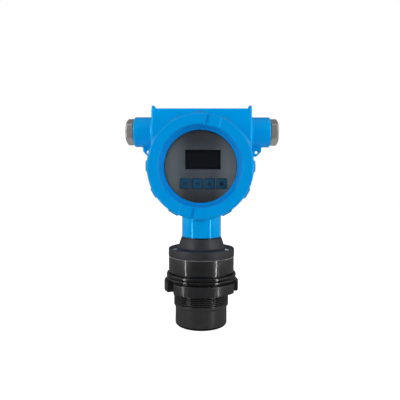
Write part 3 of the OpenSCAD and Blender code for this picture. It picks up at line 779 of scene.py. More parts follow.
# The housing's blue is painted lighter than the covers', to make up for the shade that falls on it, and the
# bezel's blue is painted bluer and a little darker as shade in its recess
BODY_BLUE_PAINTED_LIGHTER = painted_casting("blue_enamel_on_cast_housing", "#019FE8", "#01A7F2")
COVER_BLUE = painted_casting("blue_enamel_on_cast_cover", "#0190DB", "#0198E5")
# Painted shade: the bezel's blue is a bluer, slightly darker copy of the cover's
BEZEL_BLUE_PAINTED_SHADE = painted_casting("blue_enamel_in_cast_bezel", "#018EE4", "#0196EE", gleam=0.15)

# Plastics and rubbers: name, two shades, lowest and highest roughness, grain width and depth
GLOSS_BLACK = moulded_plastic(
    "black_moulded_abs_gloss", "#1E1E1F", "#242424", 0.34, 0.40, 0.9, 0.002, skin=0.45)
NUT_BLACK = moulded_plastic(
    "black_moulded_polyamide_nut", "#202021", "#262627", 0.34, 0.40, 0.8, 0.02, skin=0.15)
# Painted highlight: a pale grey for the seam's bevel, standing in for the light line there
SEAM_HIGHLIGHT_GREY = moulded_plastic(
    "grey_bare_moulding_edge", "#8A8A8C", "#98989A", 0.25, 0.35, 0.8, 0.004)
SATIN_BLACK = moulded_plastic(
    "black_moulded_polyamide_satin", "#27272A", "#2D2D30", 0.48, 0.56, 0.7, 0.03)
HEAD_BLACK = moulded_plastic("black_turned_pvc", "#29292A", "#2F2F30", 0.40, 0.50, 0.8, 0.02)
# Painted shade: a darker black with little gleam for the head's rounded foot, where shade falls under the
# probe
FOOT_SHADE_BLACK = moulded_plastic(
    "black_dull_turned_pvc", "#121213", "#171718", 0.6, 0.7, 0.8, 0.02, gleam=0.1)
THREAD_BLACK = cut_thread()
RUBBER = moulded_plastic("black_nitrile_rubber", "#161617", "#1C1C1D", 0.16, 0.22, 0.8, 0.004)

# Metals: name, two shades, lowest and highest roughness, width of the tool lines and their stretch
STEEL = worked_metal("milled_stainless_steel", "#ECE7E0", "#D6D0C9", 0.38, 0.48, 0.5, (0.15, 1, 1))
SCREW_STEEL = worked_metal("zinc_plated_steel", "#D2D2D0", "#B8B8B6", 0.25, 0.36, 0.3, (1, 1, 1))
ALUMINIUM = worked_metal("turned_aluminium", "#C8CACC", "#AEB0B2", 0.25, 0.40, 0.4, (1, 0.2, 1))
BRASS = worked_metal("turned_brass", "#C9A85A", "#A98A45", 0.22, 0.36, 0.4, (1, 0.2, 1))

# Window, panel, keys and what is inside
GLASS = window_glass()
FILM = film_with_painted_shade_and_light()
SCREEN = dark_screen()
KEY_TEAL = moulded_plastic("teal_silicone_rubber", "#0E6288", "#106890", 0.42, 0.5, 0.6, 0.02)
KEY_NAVY = moulded_plastic("navy_silicone_edge", "#0B2C4A", "#0E3252", 0.42, 0.5, 0.6, 0.02)
KEY_INK = moulded_plastic("dark_key_ink", "#0A2C48", "#0D3250", 0.5, 0.6, 0.6, 0.01)
BOARD = circuit_board()
SWITCH = moulded_plastic("dark_grey_polyamide", "#2B2B2D", "#333336", 0.45, 0.55, 0.6, 0.03)
TERMINAL = moulded_plastic("green_polyamide", "#2E6B3C", "#357544", 0.4, 0.5, 0.6, 0.03)
FILL = moulded_plastic("cast_epoxy_resin", "#8C8474", "#978E7D", 0.35, 0.5, 1.2, 0.03)


# Housing

def build_housing():
    """The housing and its lugs, on a grid whose cells are small where edges and fillets lie."""
    coarse = 1.5
    fine = 0.8
    fine_deep = 0.7
    edges_aside = [(47, 67), (72.5, 76)]
    edges_deep = [(-41.5, -38.9), (-30, -24.5), (-17, -9.5), (24.5, 30), (38.9, 41.5)]
    edges_up = [(95, 99.5), (110, 113), (116, 124), (183, 200), (226, 239.5)]
    half = grid_line(0.4, 78, coarse, fine, edges_aside)
    lines = (
        np.concatenate([-half[::-1], half]),
        grid_line(-42, 42.6, coarse, fine_deep, edges_deep),
        grid_line(94, 240, coarse, fine, edges_up),
    )
    points, faces, normals = cast_surface(housing_distance, lines)
    mesh = mesh_of("housing_casting", [(points, faces, BODY_BLUE_PAINTED_LIGHTER)])
    place_piece("housing_casting", mesh, "sensor", ("housing", "left_lug", "right_lug"),
                normals=normals)


# Threads

ROWS_PER_PITCH = 10
# Distance from a crest's middle, in pitches, where the flat crest ends and where the flat root begins
CREST_END = 0.2
ROOT_START = 0.4


def thread_tree():
    """A screw thread as a closed sleeve along Z. Its rows follow the helix, so the crest is smooth."""
    tree = bpy.data.node_groups.new("helical_thread", "GeometryNodeTree")
    for name in ("Crest Radius", "Depth", "Pitch", "Length", "Inner Radius"):
        tree.interface.new_socket(name=name, in_out="INPUT", socket_type="NodeSocketFloat")
    for name in ("Steps", "Rows"):
        tree.interface.new_socket(name=name, in_out="INPUT", socket_type="NodeSocketInt")
    tree.interface.new_socket(name="Material", in_out="INPUT", socket_type="NodeSocketMaterial")
    tree.interface.new_socket(name="Thread", in_out="OUTPUT", socket_type="NodeSocketGeometry")
    given = node(tree, "NodeGroupInput").outputs
    math_kind = "ShaderNodeMath"
    row_points = node(tree, math_kind, {0: given["Rows"], 1: 1.0}, operation="ADD")
    step_points = node(tree, math_kind, {0: given["Steps"], 1: 1.0}, operation="ADD")
    grid = node(tree, "GeometryNodeMeshGrid", {
        "Size X": 1.0, "Size Y": 1.0,
        "Vertices X": step_points.outputs[0], "Vertices Y": row_points.outputs[0]})
    place = node(tree, "ShaderNodeSeparateXYZ", {0: node(tree, "GeometryNodeInputPosition").outputs[0]})
    turn = node(tree, math_kind, {0: place.outputs[0], 1: 0.5}, operation="ADD").outputs[0]
    share = node(tree, math_kind, {0: place.outputs[1], 1: 0.5}, operation="ADD").outputs[0]
    row = node(tree, math_kind, {0: share, 1: given["Rows"]}, operation="MULTIPLY").outputs[0]
    # Place along the thread, in pitches
    row_climb = 1 / ROWS_PER_PITCH
    climb = node(tree, math_kind, {0: row, 1: row_climb, 2: turn}, operation="MULTIPLY_ADD").outputs[0]
    climb = node(tree, math_kind, {0: climb, 1: 1 + row_climb}, operation="SUBTRACT").outputs[0]
    height = node(tree, math_kind, {0: climb, 1: given["Pitch"]}, operation="MULTIPLY").outputs[0]
    height = node(tree, "ShaderNodeClamp", {0: height, 1: 0.0, 2: given["Length"]}).outputs[0]
    phase = node(tree, math_kind, {0: climb}, operation="FRACT").outputs[0]
    phase = node(tree, math_kind, {0: phase, 1: 0.5}, operation="SUBTRACT").outputs[0]
    phase = node(tree, math_kind, {0: phase}, operation="ABSOLUTE").outputs[0]
    # Flat crest, straight flanks, flat root
    ridge = node(tree, "ShaderNodeMapRange", {
        0: phase, 1: CREST_END, 2: ROOT_START, 3: 1.0, 4: 0.0}).outputs[0]
    # The thread runs out over a third of a pitch at both ends
    left = node(tree, math_kind, {0: given["Length"], 1: height}, operation="SUBTRACT").outputs[0]
    left = node(tree, math_kind, {0: left, 1: height}, operation="MINIMUM").outputs[0]
    run_out = node(tree, math_kind, {0: given["Pitch"], 1: 1 / 3}, operation="MULTIPLY").outputs[0]
    fade = node(tree, "ShaderNodeMapRange", {0: left, 1: 0.0, 2: run_out, 3: 0.0, 4: 1.0}).outputs[0]
    ridge = node(tree, math_kind, {0: ridge, 1: fade}, operation="MULTIPLY").outputs[0]
    crest = given["Crest Radius"]
    depth = given["Depth"]
    root = node(tree, math_kind, {0: crest, 1: depth}, operation="SUBTRACT").outputs[0]
    radius = node(tree, math_kind, {0: ridge, 1: depth, 2: root}, operation="MULTIPLY_ADD").outputs[0]
    # The first row and the last two close the sleeve along its bore
    near_end = node(tree, math_kind, {0: given["Rows"], 1: 1.5}, operation="SUBTRACT").outputs[0]
    at_end = node(tree, math_kind, {0: given["Rows"], 1: 0.5}, operation="SUBTRACT").outputs[0]
    first = node(tree, math_kind, {0: row, 1: 0.5}, operation="LESS_THAN").outputs[0]
    last = node(tree, math_kind, {0: row, 1: near_end}, operation="GREATER_THAN").outputs[0]
    back = node(tree, math_kind, {0: row, 1: at_end}, operation="GREATER_THAN").outputs[0]
    bore = node(tree, math_kind, {0: first, 1: last}, operation="MAXIMUM").outputs[0]
    radius = node(tree, "ShaderNodeMix", {0: bore, 2: radius, 3: given["Inner Radius"]}).outputs[0]
    height = node(tree, "ShaderNodeMix", {0: last, 2: height, 3: given["Length"]}).outputs[0]
    low = node(tree, math_kind, {0: first, 1: back}, operation="MAXIMUM").outputs[0]
    height = node(tree, "ShaderNodeMix", {0: low, 2: height, 3: 0.0}).outputs[0]
    angle = node(tree, math_kind, {0: turn, 1: 2 * math.pi}, operation="MULTIPLY").outputs[0]
    cosine = node(tree, math_kind, {0: angle}, operation="COSINE").outputs[0]
    sine = node(tree, math_kind, {0: angle}, operation="SINE").outputs[0]
    x = node(tree, math_kind, {0: radius, 1: cosine}, operation="MULTIPLY").outputs[0]
    y = node(tree, math_kind, {0: radius, 1: sine}, operation="MULTIPLY").outputs[0]
    point = node(tree, "ShaderNodeCombineXYZ", {0: x, 1: y, 2: height}).outputs[0]
    set_place = node(tree, "GeometryNodeSetPosition", {"Geometry": grid.outputs[0], "Position": point})
    closed = node(tree, "GeometryNodeMergeByDistance", {"Geometry": set_place.outputs[0], "Distance": 2e-6})
    real = node(tree, "GeometryNodeRealizeInstances", {"Geometry": closed.outputs[0]})
    coloured = node(tree, "GeometryNodeSetMaterial", {
        "Geometry": real.outputs[0], "Material": given["Material"]})
    node(tree, "NodeGroupOutput", {0: coloured.outputs[0]})
    return tree


def build_thread(name, crest, depth, pitch, length, steps, material, matrix, body):
    """A thread of these sizes, set in place by the matrix. Its sleeve reaches 1 mm under the root."""
    sleeve = 1
    closing_rows = 4
    rows = math.ceil(ROWS_PER_PITCH * (length / pitch + 1)) + closing_rows
    mesh = grow(THREAD_TREE, {
        "Crest Radius": crest * MM, "Depth": depth * MM, "Pitch": pitch * MM, "Length": length * MM,
        "Inner Radius": (crest - depth - sleeve) * MM, "Steps": steps, "Rows": rows, "Material": material})
    mesh.transform(matrix)
    return place_piece(name, mesh, body, sharp=40)


# Covers

# Half the angle, in radians, where points lie close together for a slot, and the points in and between
SLOT_SPAN = 0.26
SLOT_POINTS = 140
REST_POINTS = 262
# How far a lobe's flank reaches inside and outside its width, and where behind the face it grows
LOBE_FLANK_IN = 0.9
LOBE_FLANK_OUT = 0.7
LOBE_START = 2.6
LOBE_FULL = 5.8
LOBE_FADE = 0.9
# Points this far under the rim begin to move with a lobe, and move with it fully
RIM_BAND_IN = 1.5
RIM_BAND_OUT = 0.2
# Softening of a slot's wall, how deep behind the face a slot squeezes the rows, and where they stay put
SLOT_EASE = 0.2
SLOT_SQUEEZE = 9
SLOT_ZONE = 9.5
# A slot ends this far outside the window, and cuts straight down this far past the bezel
SLOT_FROM_WINDOW = 2
SLOT_PAST_BEZEL = 1


def cover_turn():
    """Angles round a cover, close together at its two slots."""
    slot = math.radians(SLOT_TURN)
    near = np.linspace(-SLOT_SPAN, SLOT_SPAN, SLOT_POINTS)
    far = np.linspace(SLOT_SPAN, math.pi - SLOT_SPAN, REST_POINTS)[1:-1]
    return np.concatenate([slot + near, slot + far, slot + math.pi + near, slot + math.pi + far])


def cover_warp(face, mouth, steps_back):
    """Grip lobes round the rim and the two spanner slots in the face. A slot has a steep wall on the side
    that loosens the cover, and its floor rises from there. steps_back is the direction from the face to
    the mouth, 1 or -1."""
    def warp(radius, along, angle):
        from_face = (along - face) * steps_back
        pitch = 2 * math.pi / LOBE_COUNT
        off = np.abs((angle + pitch / 2) % pitch - pitch / 2) * COVER_R
        lobe = 1 - smoothstep(LOBE_W / 2 - LOBE_FLANK_IN, LOBE_W / 2 + LOBE_FLANK_OUT, off)
        ramp = smoothstep(LOBE_START, LOBE_FULL, from_face)
        ramp = ramp * smoothstep(0, LOBE_FADE, abs(face - mouth) - from_face)
        outer = smoothstep(COVER_R - RIM_BAND_IN, COVER_R - RIM_BAND_OUT, radius)
        grown = radius + (LOBE_R - COVER_R) * lobe * ramp * outer
        turn = (angle - math.radians(SLOT_TURN) + math.pi / 2) % math.pi - math.pi / 2
        across = steps_back * radius * np.sin(turn)
        wall = smoothstep(-SLOT_W / 2 - SLOT_EASE, -SLOT_W / 2 + SLOT_WALL + SLOT_EASE, across)
        rise = np.clip((across + SLOT_W / 2 - SLOT_WALL) / (SLOT_W - SLOT_WALL), 0, 1)
        floor = SLOT_DEPTH + (SLOT_SHALLOW - SLOT_DEPTH) * rise
        slot = floor * wall * np.clip((SLOT_W / 2 + SLOT_BEVEL / 2 - across) / SLOT_BEVEL, 0, 1)
        inner = radius < BEZEL_R + SLOT_PAST_BEZEL
        squeeze = np.clip(1 - from_face / SLOT_SQUEEZE, 0, 1)
        sunk = np.where(inner, np.maximum(from_face, slot), from_face + slot * squeeze)
        in_slot = (radius > WINDOW_R + SLOT_FROM_WINDOW) & (from_face < SLOT_ZONE)
        pushed = np.where(in_slot, sunk, from_face)
        return grown, face + pushed * steps_back
    return warp


def build_front_cover():
    """The cover with the window: its bezel has less gleam, and a bluer, slightly darker blue as painted shade
    in its recess.
    """
    profile = rounded_outline([
        (ORING_BORE_R, -MOUTH, 0.3),
        (ORING_BORE_R, -MOUTH - ORING_DEPTH, 0.2),
        (THREAD_BORE_R, -MOUTH - ORING_DEPTH, 0.3),
        (THREAD_BORE_R, -RING_BACK, 0.2),
        (GLASS_SEAT_R, -RING_BACK, 0.2),
        (GLASS_SEAT_R, -LIP, 0.2),
        (WINDOW_R, -LIP, 0.2),
        (WINDOW_R, -LIP - 0.9, 0.35),
        (WINDOW_R + 1.5, -LIP - 1.4, 0.5),
        (BEZEL_R - 1.5, -FACE + 1.2, 0.6),
        (BEZEL_R - 0.3, -FACE, 0.6),
        (COVER_R, -FACE + 0.3, 2.6),
        (COVER_R, -MOUTH, 0.5),
    ], longest=1.7)
    points, faces = lathe(profile, cover_turn(), cover_warp(-FACE, -MOUTH, 1))
    middle = (profile + np.roll(profile, -1, 0)) / 2
    # The bezel's rows take the blue with painted shade
    bezel = (middle[:, 0] < BEZEL_R - 1.2) & (middle[:, 1] < -LIP)
    shells = shells_by_rows(on_drum(points), faces, ((~bezel, COVER_BLUE), (bezel, BEZEL_BLUE_PAINTED_SHADE)))
    mesh = mesh_of("front_cover_casting", shells)
    place_piece("front_cover_casting", mesh, "front_cover", ("front_cover",), sharp=50)


def build_rear_cover():
    """The closed cover of the terminal side, with a shallow dish in its face."""
    profile = rounded_outline([
        (ORING_BORE_R, MOUTH, 0.3),
        (COVER_R, MOUTH, 0.5),
        (COVER_R, REAR_END - 0.3, 2.6),
        (BEZEL_R, REAR_END, 0.9),
        (BEZEL_R - 1.6, REAR_END - DISH_DEPTH, 1.0),
        (0, REAR_END - DISH_DEPTH),
        (0, REAR_END - REAR_WALL),
        (CHAMBER_R, REAR_END - REAR_WALL, 1.5),
        (CHAMBER_R, RING_BACK, 0.3),
        (THREAD_BORE_R, RING_BACK, 0.3),
        (THREAD_BORE_R, MOUTH + ORING_DEPTH, 0.3),
        (ORING_BORE_R, MOUTH + ORING_DEPTH, 0.2),
    ], longest=2.2)
    points, faces = lathe(to_axis(profile), cover_turn(), cover_warp(REAR_END, MOUTH, -1))
    mesh = mesh_of("rear_cover_casting", [(on_drum(points), faces, COVER_BLUE)])
    place_piece("rear_cover_casting", mesh, "rear_cover", ("rear_cover",), sharp=50)


def build_collar_threads():
    """The threads on the housing that the covers screw onto."""
    start = 0.6
    end = 0.8
    length = COLLAR_END - HALF_DEPTH - (start + end)
    for name, side in (("front", -1), ("rear", 1)):
        place = Matrix.Translation((0, side * (HALF_DEPTH + start) * MM, DRUM_Z * MM))
        matrix = place @ Matrix.Rotation(math.radians(-90 * side), 4, "X")
        build_thread(f"{name}_collar_thread", COLLAR_R, COLLAR_DEPTH, COLLAR_PITCH, length,
                     240, BODY_BLUE_PAINTED_LIGHTER, matrix, "sensor")


# Plugs

def build_plug(name, side):
    """A hexagon head on a threaded shank, side -1 or 1."""
    flat = PLUG_AF / 2
    corner = PLUG_AF / 2 / math.cos(math.pi / 6)
    core_r = PLUG_THREAD_R - PLUG_DEPTH
    shank_end = PLUG_SEAT - PLUG_SHANK
    into_head = 0.5
    thread_gap = 0.2
    corner_share = 0.985
    edge_round = 0.5

    def hexagon(radius, along, angle):
        sector = angle % (math.pi / 3) - math.pi / 6
        edge = np.minimum(flat / np.cos(sector), corner * corner_share)
        faceted = soft_union(radius, edge, edge_round)
        return np.where(radius > PLUG_THREAD_R + 1, faceted, radius), along

    head = rounded_outline([
        (0, PLUG_SEAT),
        (corner, PLUG_SEAT, 0.5),
        (corner, PLUG_END - 2.2, 1.2),
        (corner - 3.6, PLUG_END, 1.4),
        (0, PLUG_END),
    ], longest=1.0)
    points, faces = lathe(to_axis(head), even_turn(180), hexagon)
    core = rounded_outline([
        (0, shank_end),
        (core_r, shank_end, 0.4),
        (core_r, PLUG_SEAT + into_head),
        (0, PLUG_SEAT + into_head),
    ])
    core_points, core_faces = lathe(core, even_turn(72))
    mesh = mesh_of(name, [
        (on_boss(points, side), faces, STEEL),
        (on_boss(core_points, side), core_faces, STEEL),
    ])
    place_piece(f"{name}_hexagon", mesh, name, (name,), sharp=28)
    place = Matrix.Translation((side * (shank_end + thread_gap) * MM, 0, BOSS_Z * MM))
    matrix = place @ Matrix.Rotation(math.radians(90 * side), 4, "Y")
    build_thread(f"{name}_thread", PLUG_THREAD_R, PLUG_DEPTH, PLUG_PITCH, PLUG_SHANK - 2 * thread_gap,
                 96, STEEL, matrix, name)


# Transducer

def build_transducer_body():
    """The probe: a dark foot with painted shade, turned head, thread, and a glossy shoulder with a pale grey
    bevel at the seam as a painted highlight.
    """
    core_r = THREAD_R - THREAD_DEPTH
    profile = rounded_outline([
        (0, 0),
        (HEAD_R, 0, HEAD_EDGE),
        (HEAD_R, HEAD_H - THREAD_LAND - THREAD_R + HEAD_R, 1.0),
        (THREAD_R, HEAD_H - THREAD_LAND, 0.4),
        (THREAD_R, HEAD_H + 0.2, 0.3),
        (core_r, HEAD_H + 0.8),
        (core_r, SHOULDER_Z, 0.3),
        (SHOULDER_R - SHOULDER_SETBACK, SHOULDER_Z),
        (SHOULDER_R - SHOULDER_SETBACK, SHOULDER_Z + SHOULDER_FOOT),
        (SHOULDER_R, SHOULDER_Z + SHOULDER_FOOT, 0.3),
        (SHOULDER_R, SHOULDER_TOP - SEAM, 0.15),
        (SHOULDER_R - SEAM, SHOULDER_TOP),
        (CAVITY_R, SHOULDER_TOP),
        (CAVITY_R, FACE_T),
        (0, FACE_T),
    ])
    points, faces = lathe(profile, even_turn(192))
    middle = (profile[:-1] + profile[1:]) / 2
    shoulder = (middle[:, 1] > SHOULDER_Z - 0.5) & (middle[:, 0] > THREAD_R + 0.5)
    # Painted highlight: the seam's bevel takes the pale grey
    seam_highlight = shoulder & (middle[:, 1] > SHOULDER_TOP - SEAM) & (middle[:, 0] > SHOULDER_R - SEAM)
    # Painted shade: the rounded foot takes the darker black
    foot = middle[:, 1] < HEAD_EDGE
    shells = shells_by_rows(upright(points), faces, (
        (~shoulder & ~foot, HEAD_BLACK),
        (foot, FOOT_SHADE_BLACK),
        (shoulder & ~seam_highlight, GLOSS_BLACK),
        (seam_highlight, SEAM_HIGHLIGHT_GREY),
    ))
    mesh = mesh_of("transducer_case", shells)
    place_piece("transducer_case", mesh, "sensor", ("transducer_body",))
    into_shoulder = 0.2
    matrix = Matrix.Translation((0, 0, HEAD_H * MM))
    build_thread("tank_thread", THREAD_R, THREAD_DEPTH, THREAD_PITCH, SHOULDER_Z - HEAD_H + into_shoulder,
                 192, THREAD_BLACK, matrix, "sensor")


def build_seal_ring(name, low, high, foot, node_name):
    """A flat ring with rounded edges, standing on a foot of this height that is set back."""
    profile = rounded_outline([
        (SEAL_BORE_R, low, 0.3),
        (SEAL_R - SEAL_SETBACK, low),
        (SEAL_R - SEAL_SETBACK, low + foot),
        (SEAL_R, low + foot, 1.2),
        (SEAL_R, high, 1.4),
        (SEAL_BORE_R, high, 0.3),
    ])
    points, faces = lathe(profile, even_turn(192))
    mesh = mesh_of(name, [(upright(points), faces, RUBBER)])
    place_piece(name, mesh, "nut_seals", (node_name,))


def build_lock_nut():
    """A ring nut with a notch for the spanner at each of the angles."""
    wall_ease = 0.25
    floor_slope = 0.04

    def notches(radius, along, angle):
        depth = np.zeros_like(radius)
        for centre in NOTCH_ANGLES:
            turn = (angle - math.radians(centre) + math.pi) % (2 * math.pi) - math.pi
            across = np.where(np.abs(turn) < 1, np.abs(radius * np.sin(turn)), 1e3)
            inside = 1 - smoothstep(NOTCH_W / 2 - wall_ease, NOTCH_W / 2 + wall_ease, across)
            depth = np.maximum(depth, inside)
        floor = NUT_R - NOTCH_DEPTH
        cut = np.where(radius > floor, floor + (radius - floor) * floor_slope, radius)
        return radius + (cut - radius) * depth, along

    profile = rounded_outline([
        (NUT_BORE_R, NUT_LOW, 0.4),
        (NUT_R, NUT_LOW, 0.7),
        (NUT_R, NUT_TOP, 0.6),
        (NUT_BORE_R, NUT_TOP, 0.4),
    ], longest=2.0)
    points, faces = lathe(profile, even_turn(720), notches)
    mesh = mesh_of("lock_nut_ring", [(upright(points), faces, NUT_BLACK)])
    place_piece("lock_nut_ring", mesh, "lock_nut", ("lock_nut",))


def cut_away(mesh, cutter_mesh):
    """The first mesh without the room that the second takes."""
    close_seams(mesh)
    close_seams(cutter_mesh)
    blank = add_object("blank", mesh)
    cutter = add_object("cutter", cutter_mesh)
    cut = blank.modifiers.new("cut", "BOOLEAN")
    cut.operation = "DIFFERENCE"
    cut.object = cutter
    cut.solver = "EXACT"
    result = finished_mesh(blank)
    bpy.data.objects.remove(blank)
    bpy.data.objects.remove(cutter)
    return result


def build_adapter_flange():
    """The flange with its cone and spigot, and a sink for each screw."""
    profile = rounded_outline([
        (LEAD_BORE_R, INSERT_LOW, 0.3),
        (INSERT_R, INSERT_LOW, 0.3),
        (INSERT_R, SHOULDER_TOP + FLANGE_GAP, 0.1),
        (SHOULDER_R - SEAM, SHOULDER_TOP + FLANGE_GAP),
        (FLANGE_R, SHOULDER_TOP + 0.5, 0.2),
        (FLANGE_R, FLANGE_TOP, 1.2),
        (CONE_BASE_R + 0.3, FLANGE_TOP, 2.0),
        (CONE_BASE_R - 0.9, FLANGE_TOP + 5.6, 13),
        (CONE_TOP_R, CONE_TOP, 0.5),
        (SPIGOT_R, CONE_TOP, 0.2),
        (SPIGOT_R, SPIGOT_TOP, 0.8),
        (LEAD_BORE_R, SPIGOT_TOP, 0.5),
    ])
    points, faces = lathe(profile, even_turn(192))
    mesh = mesh_of("adapter_flange_moulding", [(upright(points), faces, SATIN_BLACK)])
    sink = rounded_outline([
        (0, SCREW_SEAT),
        (SCREW_SINK_R, SCREW_SEAT, 0.4),
        (SCREW_SINK_R, FLANGE_TOP - 0.5, 0.5),
        (SCREW_SINK_R + 1.2, FLANGE_TOP + 0.8),
        (0, FLANGE_TOP + 0.8),
    ])
    sink_points, sink_faces = lathe(sink, even_turn(48))
    shells = []
    for k in range(SCREW_COUNT):
        angle = math.pi / 2 + 2 * math.pi * k / SCREW_COUNT
        aside = np.array([SCREW_CIRCLE_R * math.cos(angle), SCREW_CIRCLE_R * math.sin(angle), 0])
        shells.append((upright(sink_points) + aside, sink_faces, SATIN_BLACK))
    moulding = cut_away(mesh, mesh_of("screw_sinks", shells))
    place_piece("adapter_flange_moulding", moulding, "sensor", ("adapter_flange",))


def screw_ring_tree():
    """Screws on a circle, each turned by chance, as a fitter leaves them."""
    tree = bpy.data.node_groups.new("screw_ring", "GeometryNodeTree")
    for name, kind in (("Screw", "NodeSocketObject"), ("Count", "NodeSocketInt"),
                       ("Circle Radius", "NodeSocketFloat"), ("Start Angle", "NodeSocketFloat"),
                       ("Height", "NodeSocketFloat"), ("Material", "NodeSocketMaterial")):
        tree.interface.new_socket(name=name, in_out="INPUT", socket_type=kind)
    tree.interface.new_socket(name="Screws", in_out="OUTPUT", socket_type="NodeSocketGeometry")
    given = node(tree, "NodeGroupInput").outputs
    ring = node(tree, "GeometryNodeMeshCircle", {
        "Vertices": given["Count"], "Radius": given["Circle Radius"]})
    lift = node(tree, "ShaderNodeCombineXYZ", {2: given["Height"]})
    turn = node(tree, "ShaderNodeCombineXYZ", {2: given["Start Angle"]})
    set_up = node(tree, "GeometryNodeTransform", {
        "Geometry": ring.outputs[0], "Translation": lift.outputs[0], "Rotation": turn.outputs[0]})
    chance = node(tree, "FunctionNodeRandomValue", {0: (0, 0, 0), 1: (0, 0, math.pi), "Seed": 4},
                  data_type="FLOAT_VECTOR")
    screw = node(tree, "GeometryNodeObjectInfo", {"Object": given["Screw"]})
    placed = node(tree, "GeometryNodeInstanceOnPoints", {
        "Points": set_up.outputs[0], "Instance": screw.outputs["Geometry"], "Rotation": chance.outputs[0]})
    real = node(tree, "GeometryNodeRealizeInstances", {"Geometry": placed.outputs[0]})
    coloured = node(tree, "GeometryNodeSetMaterial", {
        "Geometry": real.outputs[0], "Material": given["Material"]})
    node(tree, "NodeGroupOutput", {0: coloured.outputs[0]})
    return tree


def build_flange_screws():
    """Pan-head screws with a cross recess."""
    recess_depth = 0.9
    recess_from = 0.8
    # Half width and reach of the cross, at its floor and at its rim
    arm_floor, arm_rim = 0.3, 0.5
    reach_floor, reach_rim = 1.3, 1.7

    def recess(radius, along, angle):
        x = np.abs(radius * np.sin(angle))
        y = np.abs(radius * np.cos(angle))
        arm = np.minimum(x, y)
        depth = (1 - smoothstep(arm_floor, arm_rim, arm)) * (1 - smoothstep(reach_floor, reach_rim, radius))
        return radius, np.where(along > recess_from, along - recess_depth * depth, along)

    shank = SCREW_LOW - SCREW_SEAT
    profile = rounded_outline([
        (0, shank),
        (SCREW_SHANK_R, shank, 0.3),
        (SCREW_SHANK_R, 0),
        (SCREW_HEAD_R, 0, 0.3),
        (SCREW_HEAD_R, SCREW_HEAD_H, 1.1),
        (0, SCREW_HEAD_H),
    ], longest=0.3)
    points, faces = lathe(to_axis(profile), even_turn(64), recess)
    mesh = mesh_of("screw", [(upright(points), faces, SCREW_STEEL)])
    close_seams(mesh)
    pattern = add_object("screw", mesh)
    made = grow(screw_ring_tree(), {
        "Screw": pattern, "Count": SCREW_COUNT, "Circle Radius": SCREW_CIRCLE_R * MM,
        "Start Angle": math.pi / 2, "Height": SCREW_SEAT * MM, "Material": SCREW_STEEL})
    bpy.data.objects.remove(pattern)
    place_piece("flange_screw_set", made, "sensor", ("flange_screws",))


# Keys

def key_outline(width, height, corner, x, y):
    """A key's rounded square at this depth."""
    outline = rounded_outline([
        (-width / 2, -height / 2, corner),
        (width / 2, -height / 2, corner),
        (width / 2, height / 2, corner),
        (-width / 2, height / 2, corner),
    ], step=12)
    return on_panel(outline, x, y, KEY_Z)


def bar(low, high):
    """A printed bar across a key, between two heights from its middle."""
    half = 2.6
    return [(-half, low), (half, low), (half, high), (-half, high)]


# Plain signs printed on the keys, as outlines about a key's middle
KEY_SIGNS = {
    1: [bar(1.1, 1.7), bar(-0.3, 0.3), bar(-1.7, -1.1)],
    2: [[(2.4, -2.0), (2.4, 2.0), (-2.4, 0)]],
    3: [[(-2.4, -1.8), (2.4, -1.8), (0, 2.2)]],
    4: [[(-2.0, -2.0), (2.0, -2.0), (2.0, 2.0), (-2.0, 2.0)]],
}


def build_key(number):
    """A key's cap with its rounded front edge, the flange and stem behind the panel, and its printed sign."""
    x = KEY_ROW_X + (number - (KEY_COUNT + 1) / 2) * KEY_PITCH
    corner_share = 0.6
    flange_back = PANEL_BACK + 0.05
    flange_end = PANEL_BACK + 0.85
    stem_start = PANEL_BACK + 0.5
    # How far the cap is drawn in, and at which depth
    sides = [
        (0.0, flange_back),
        (0.0, KEY_FRONT + 0.35),
        (0.1, KEY_FRONT + 0.12),
        (0.25, KEY_FRONT + 0.03),
        (0.5, KEY_FRONT),
    ]
    points, faces = loft([
        key_outline(KEY_W - 2 * inset, KEY_H - 2 * inset, KEY_CORNER - inset * corner_share, x, y)
        for inset, y in sides])
    shells = [(points, faces[:-1], KEY_NAVY), (points, faces[-1:], KEY_TEAL)]
    flange = [key_outline(KEY_FLANGE_W, KEY_FLANGE_H, KEY_CORNER, x, y) for y in (flange_back, flange_end)]
    shells.append((*loft(flange), KEY_NAVY))
    stem = np.array([
        (0, stem_start),
        (KEY_STEM_R, stem_start),
        (KEY_STEM_R, KEY_STEM_END),
        (0, KEY_STEM_END),
    ], float)
    stem_points, stem_faces = lathe(stem, even_turn(32))
    stem_points = np.stack([x + stem_points[:, 0], stem_points[:, 2], KEY_Z + stem_points[:, 1]], -1)
    shells.append((stem_points, stem_faces, KEY_NAVY))
    # The ink stands a hair proud of the key
    for shape in KEY_SIGNS[number]:
        outline = np.array(shape, float)
        ink = [on_panel(outline, x, y, KEY_Z) for y in (KEY_FRONT + 0.05, KEY_FRONT - 0.03)]
        shells.append((*loft(ink), KEY_INK))
    mesh = mesh_of(f"key_{number}_cap", shells)
    place_piece(f"key_{number}_cap", mesh, f"key_{number}", (f"key_{number}",))


# All pieces

THREAD_TREE = thread_tree()
build_housing()
build_front_cover()
build_rear_cover()
build_collar_threads()
build_plug("left_plug", -1)
build_plug("right_plug", 1)
build_transducer_body()
build_seal_ring("sealing_gasket_ring", GASKET_LOW, GASKET_TOP, GASKET_FOOT, "sealing_gasket")
build_seal_ring("thrust_washer_ring", WASHER_LOW, GASKET_LOW, WASHER_FOOT, "thrust_washer")
build_lock_nut()
build_adapter_flange()
build_flange_screws()
for number in range(1, KEY_COUNT + 1):
    build_key(number)

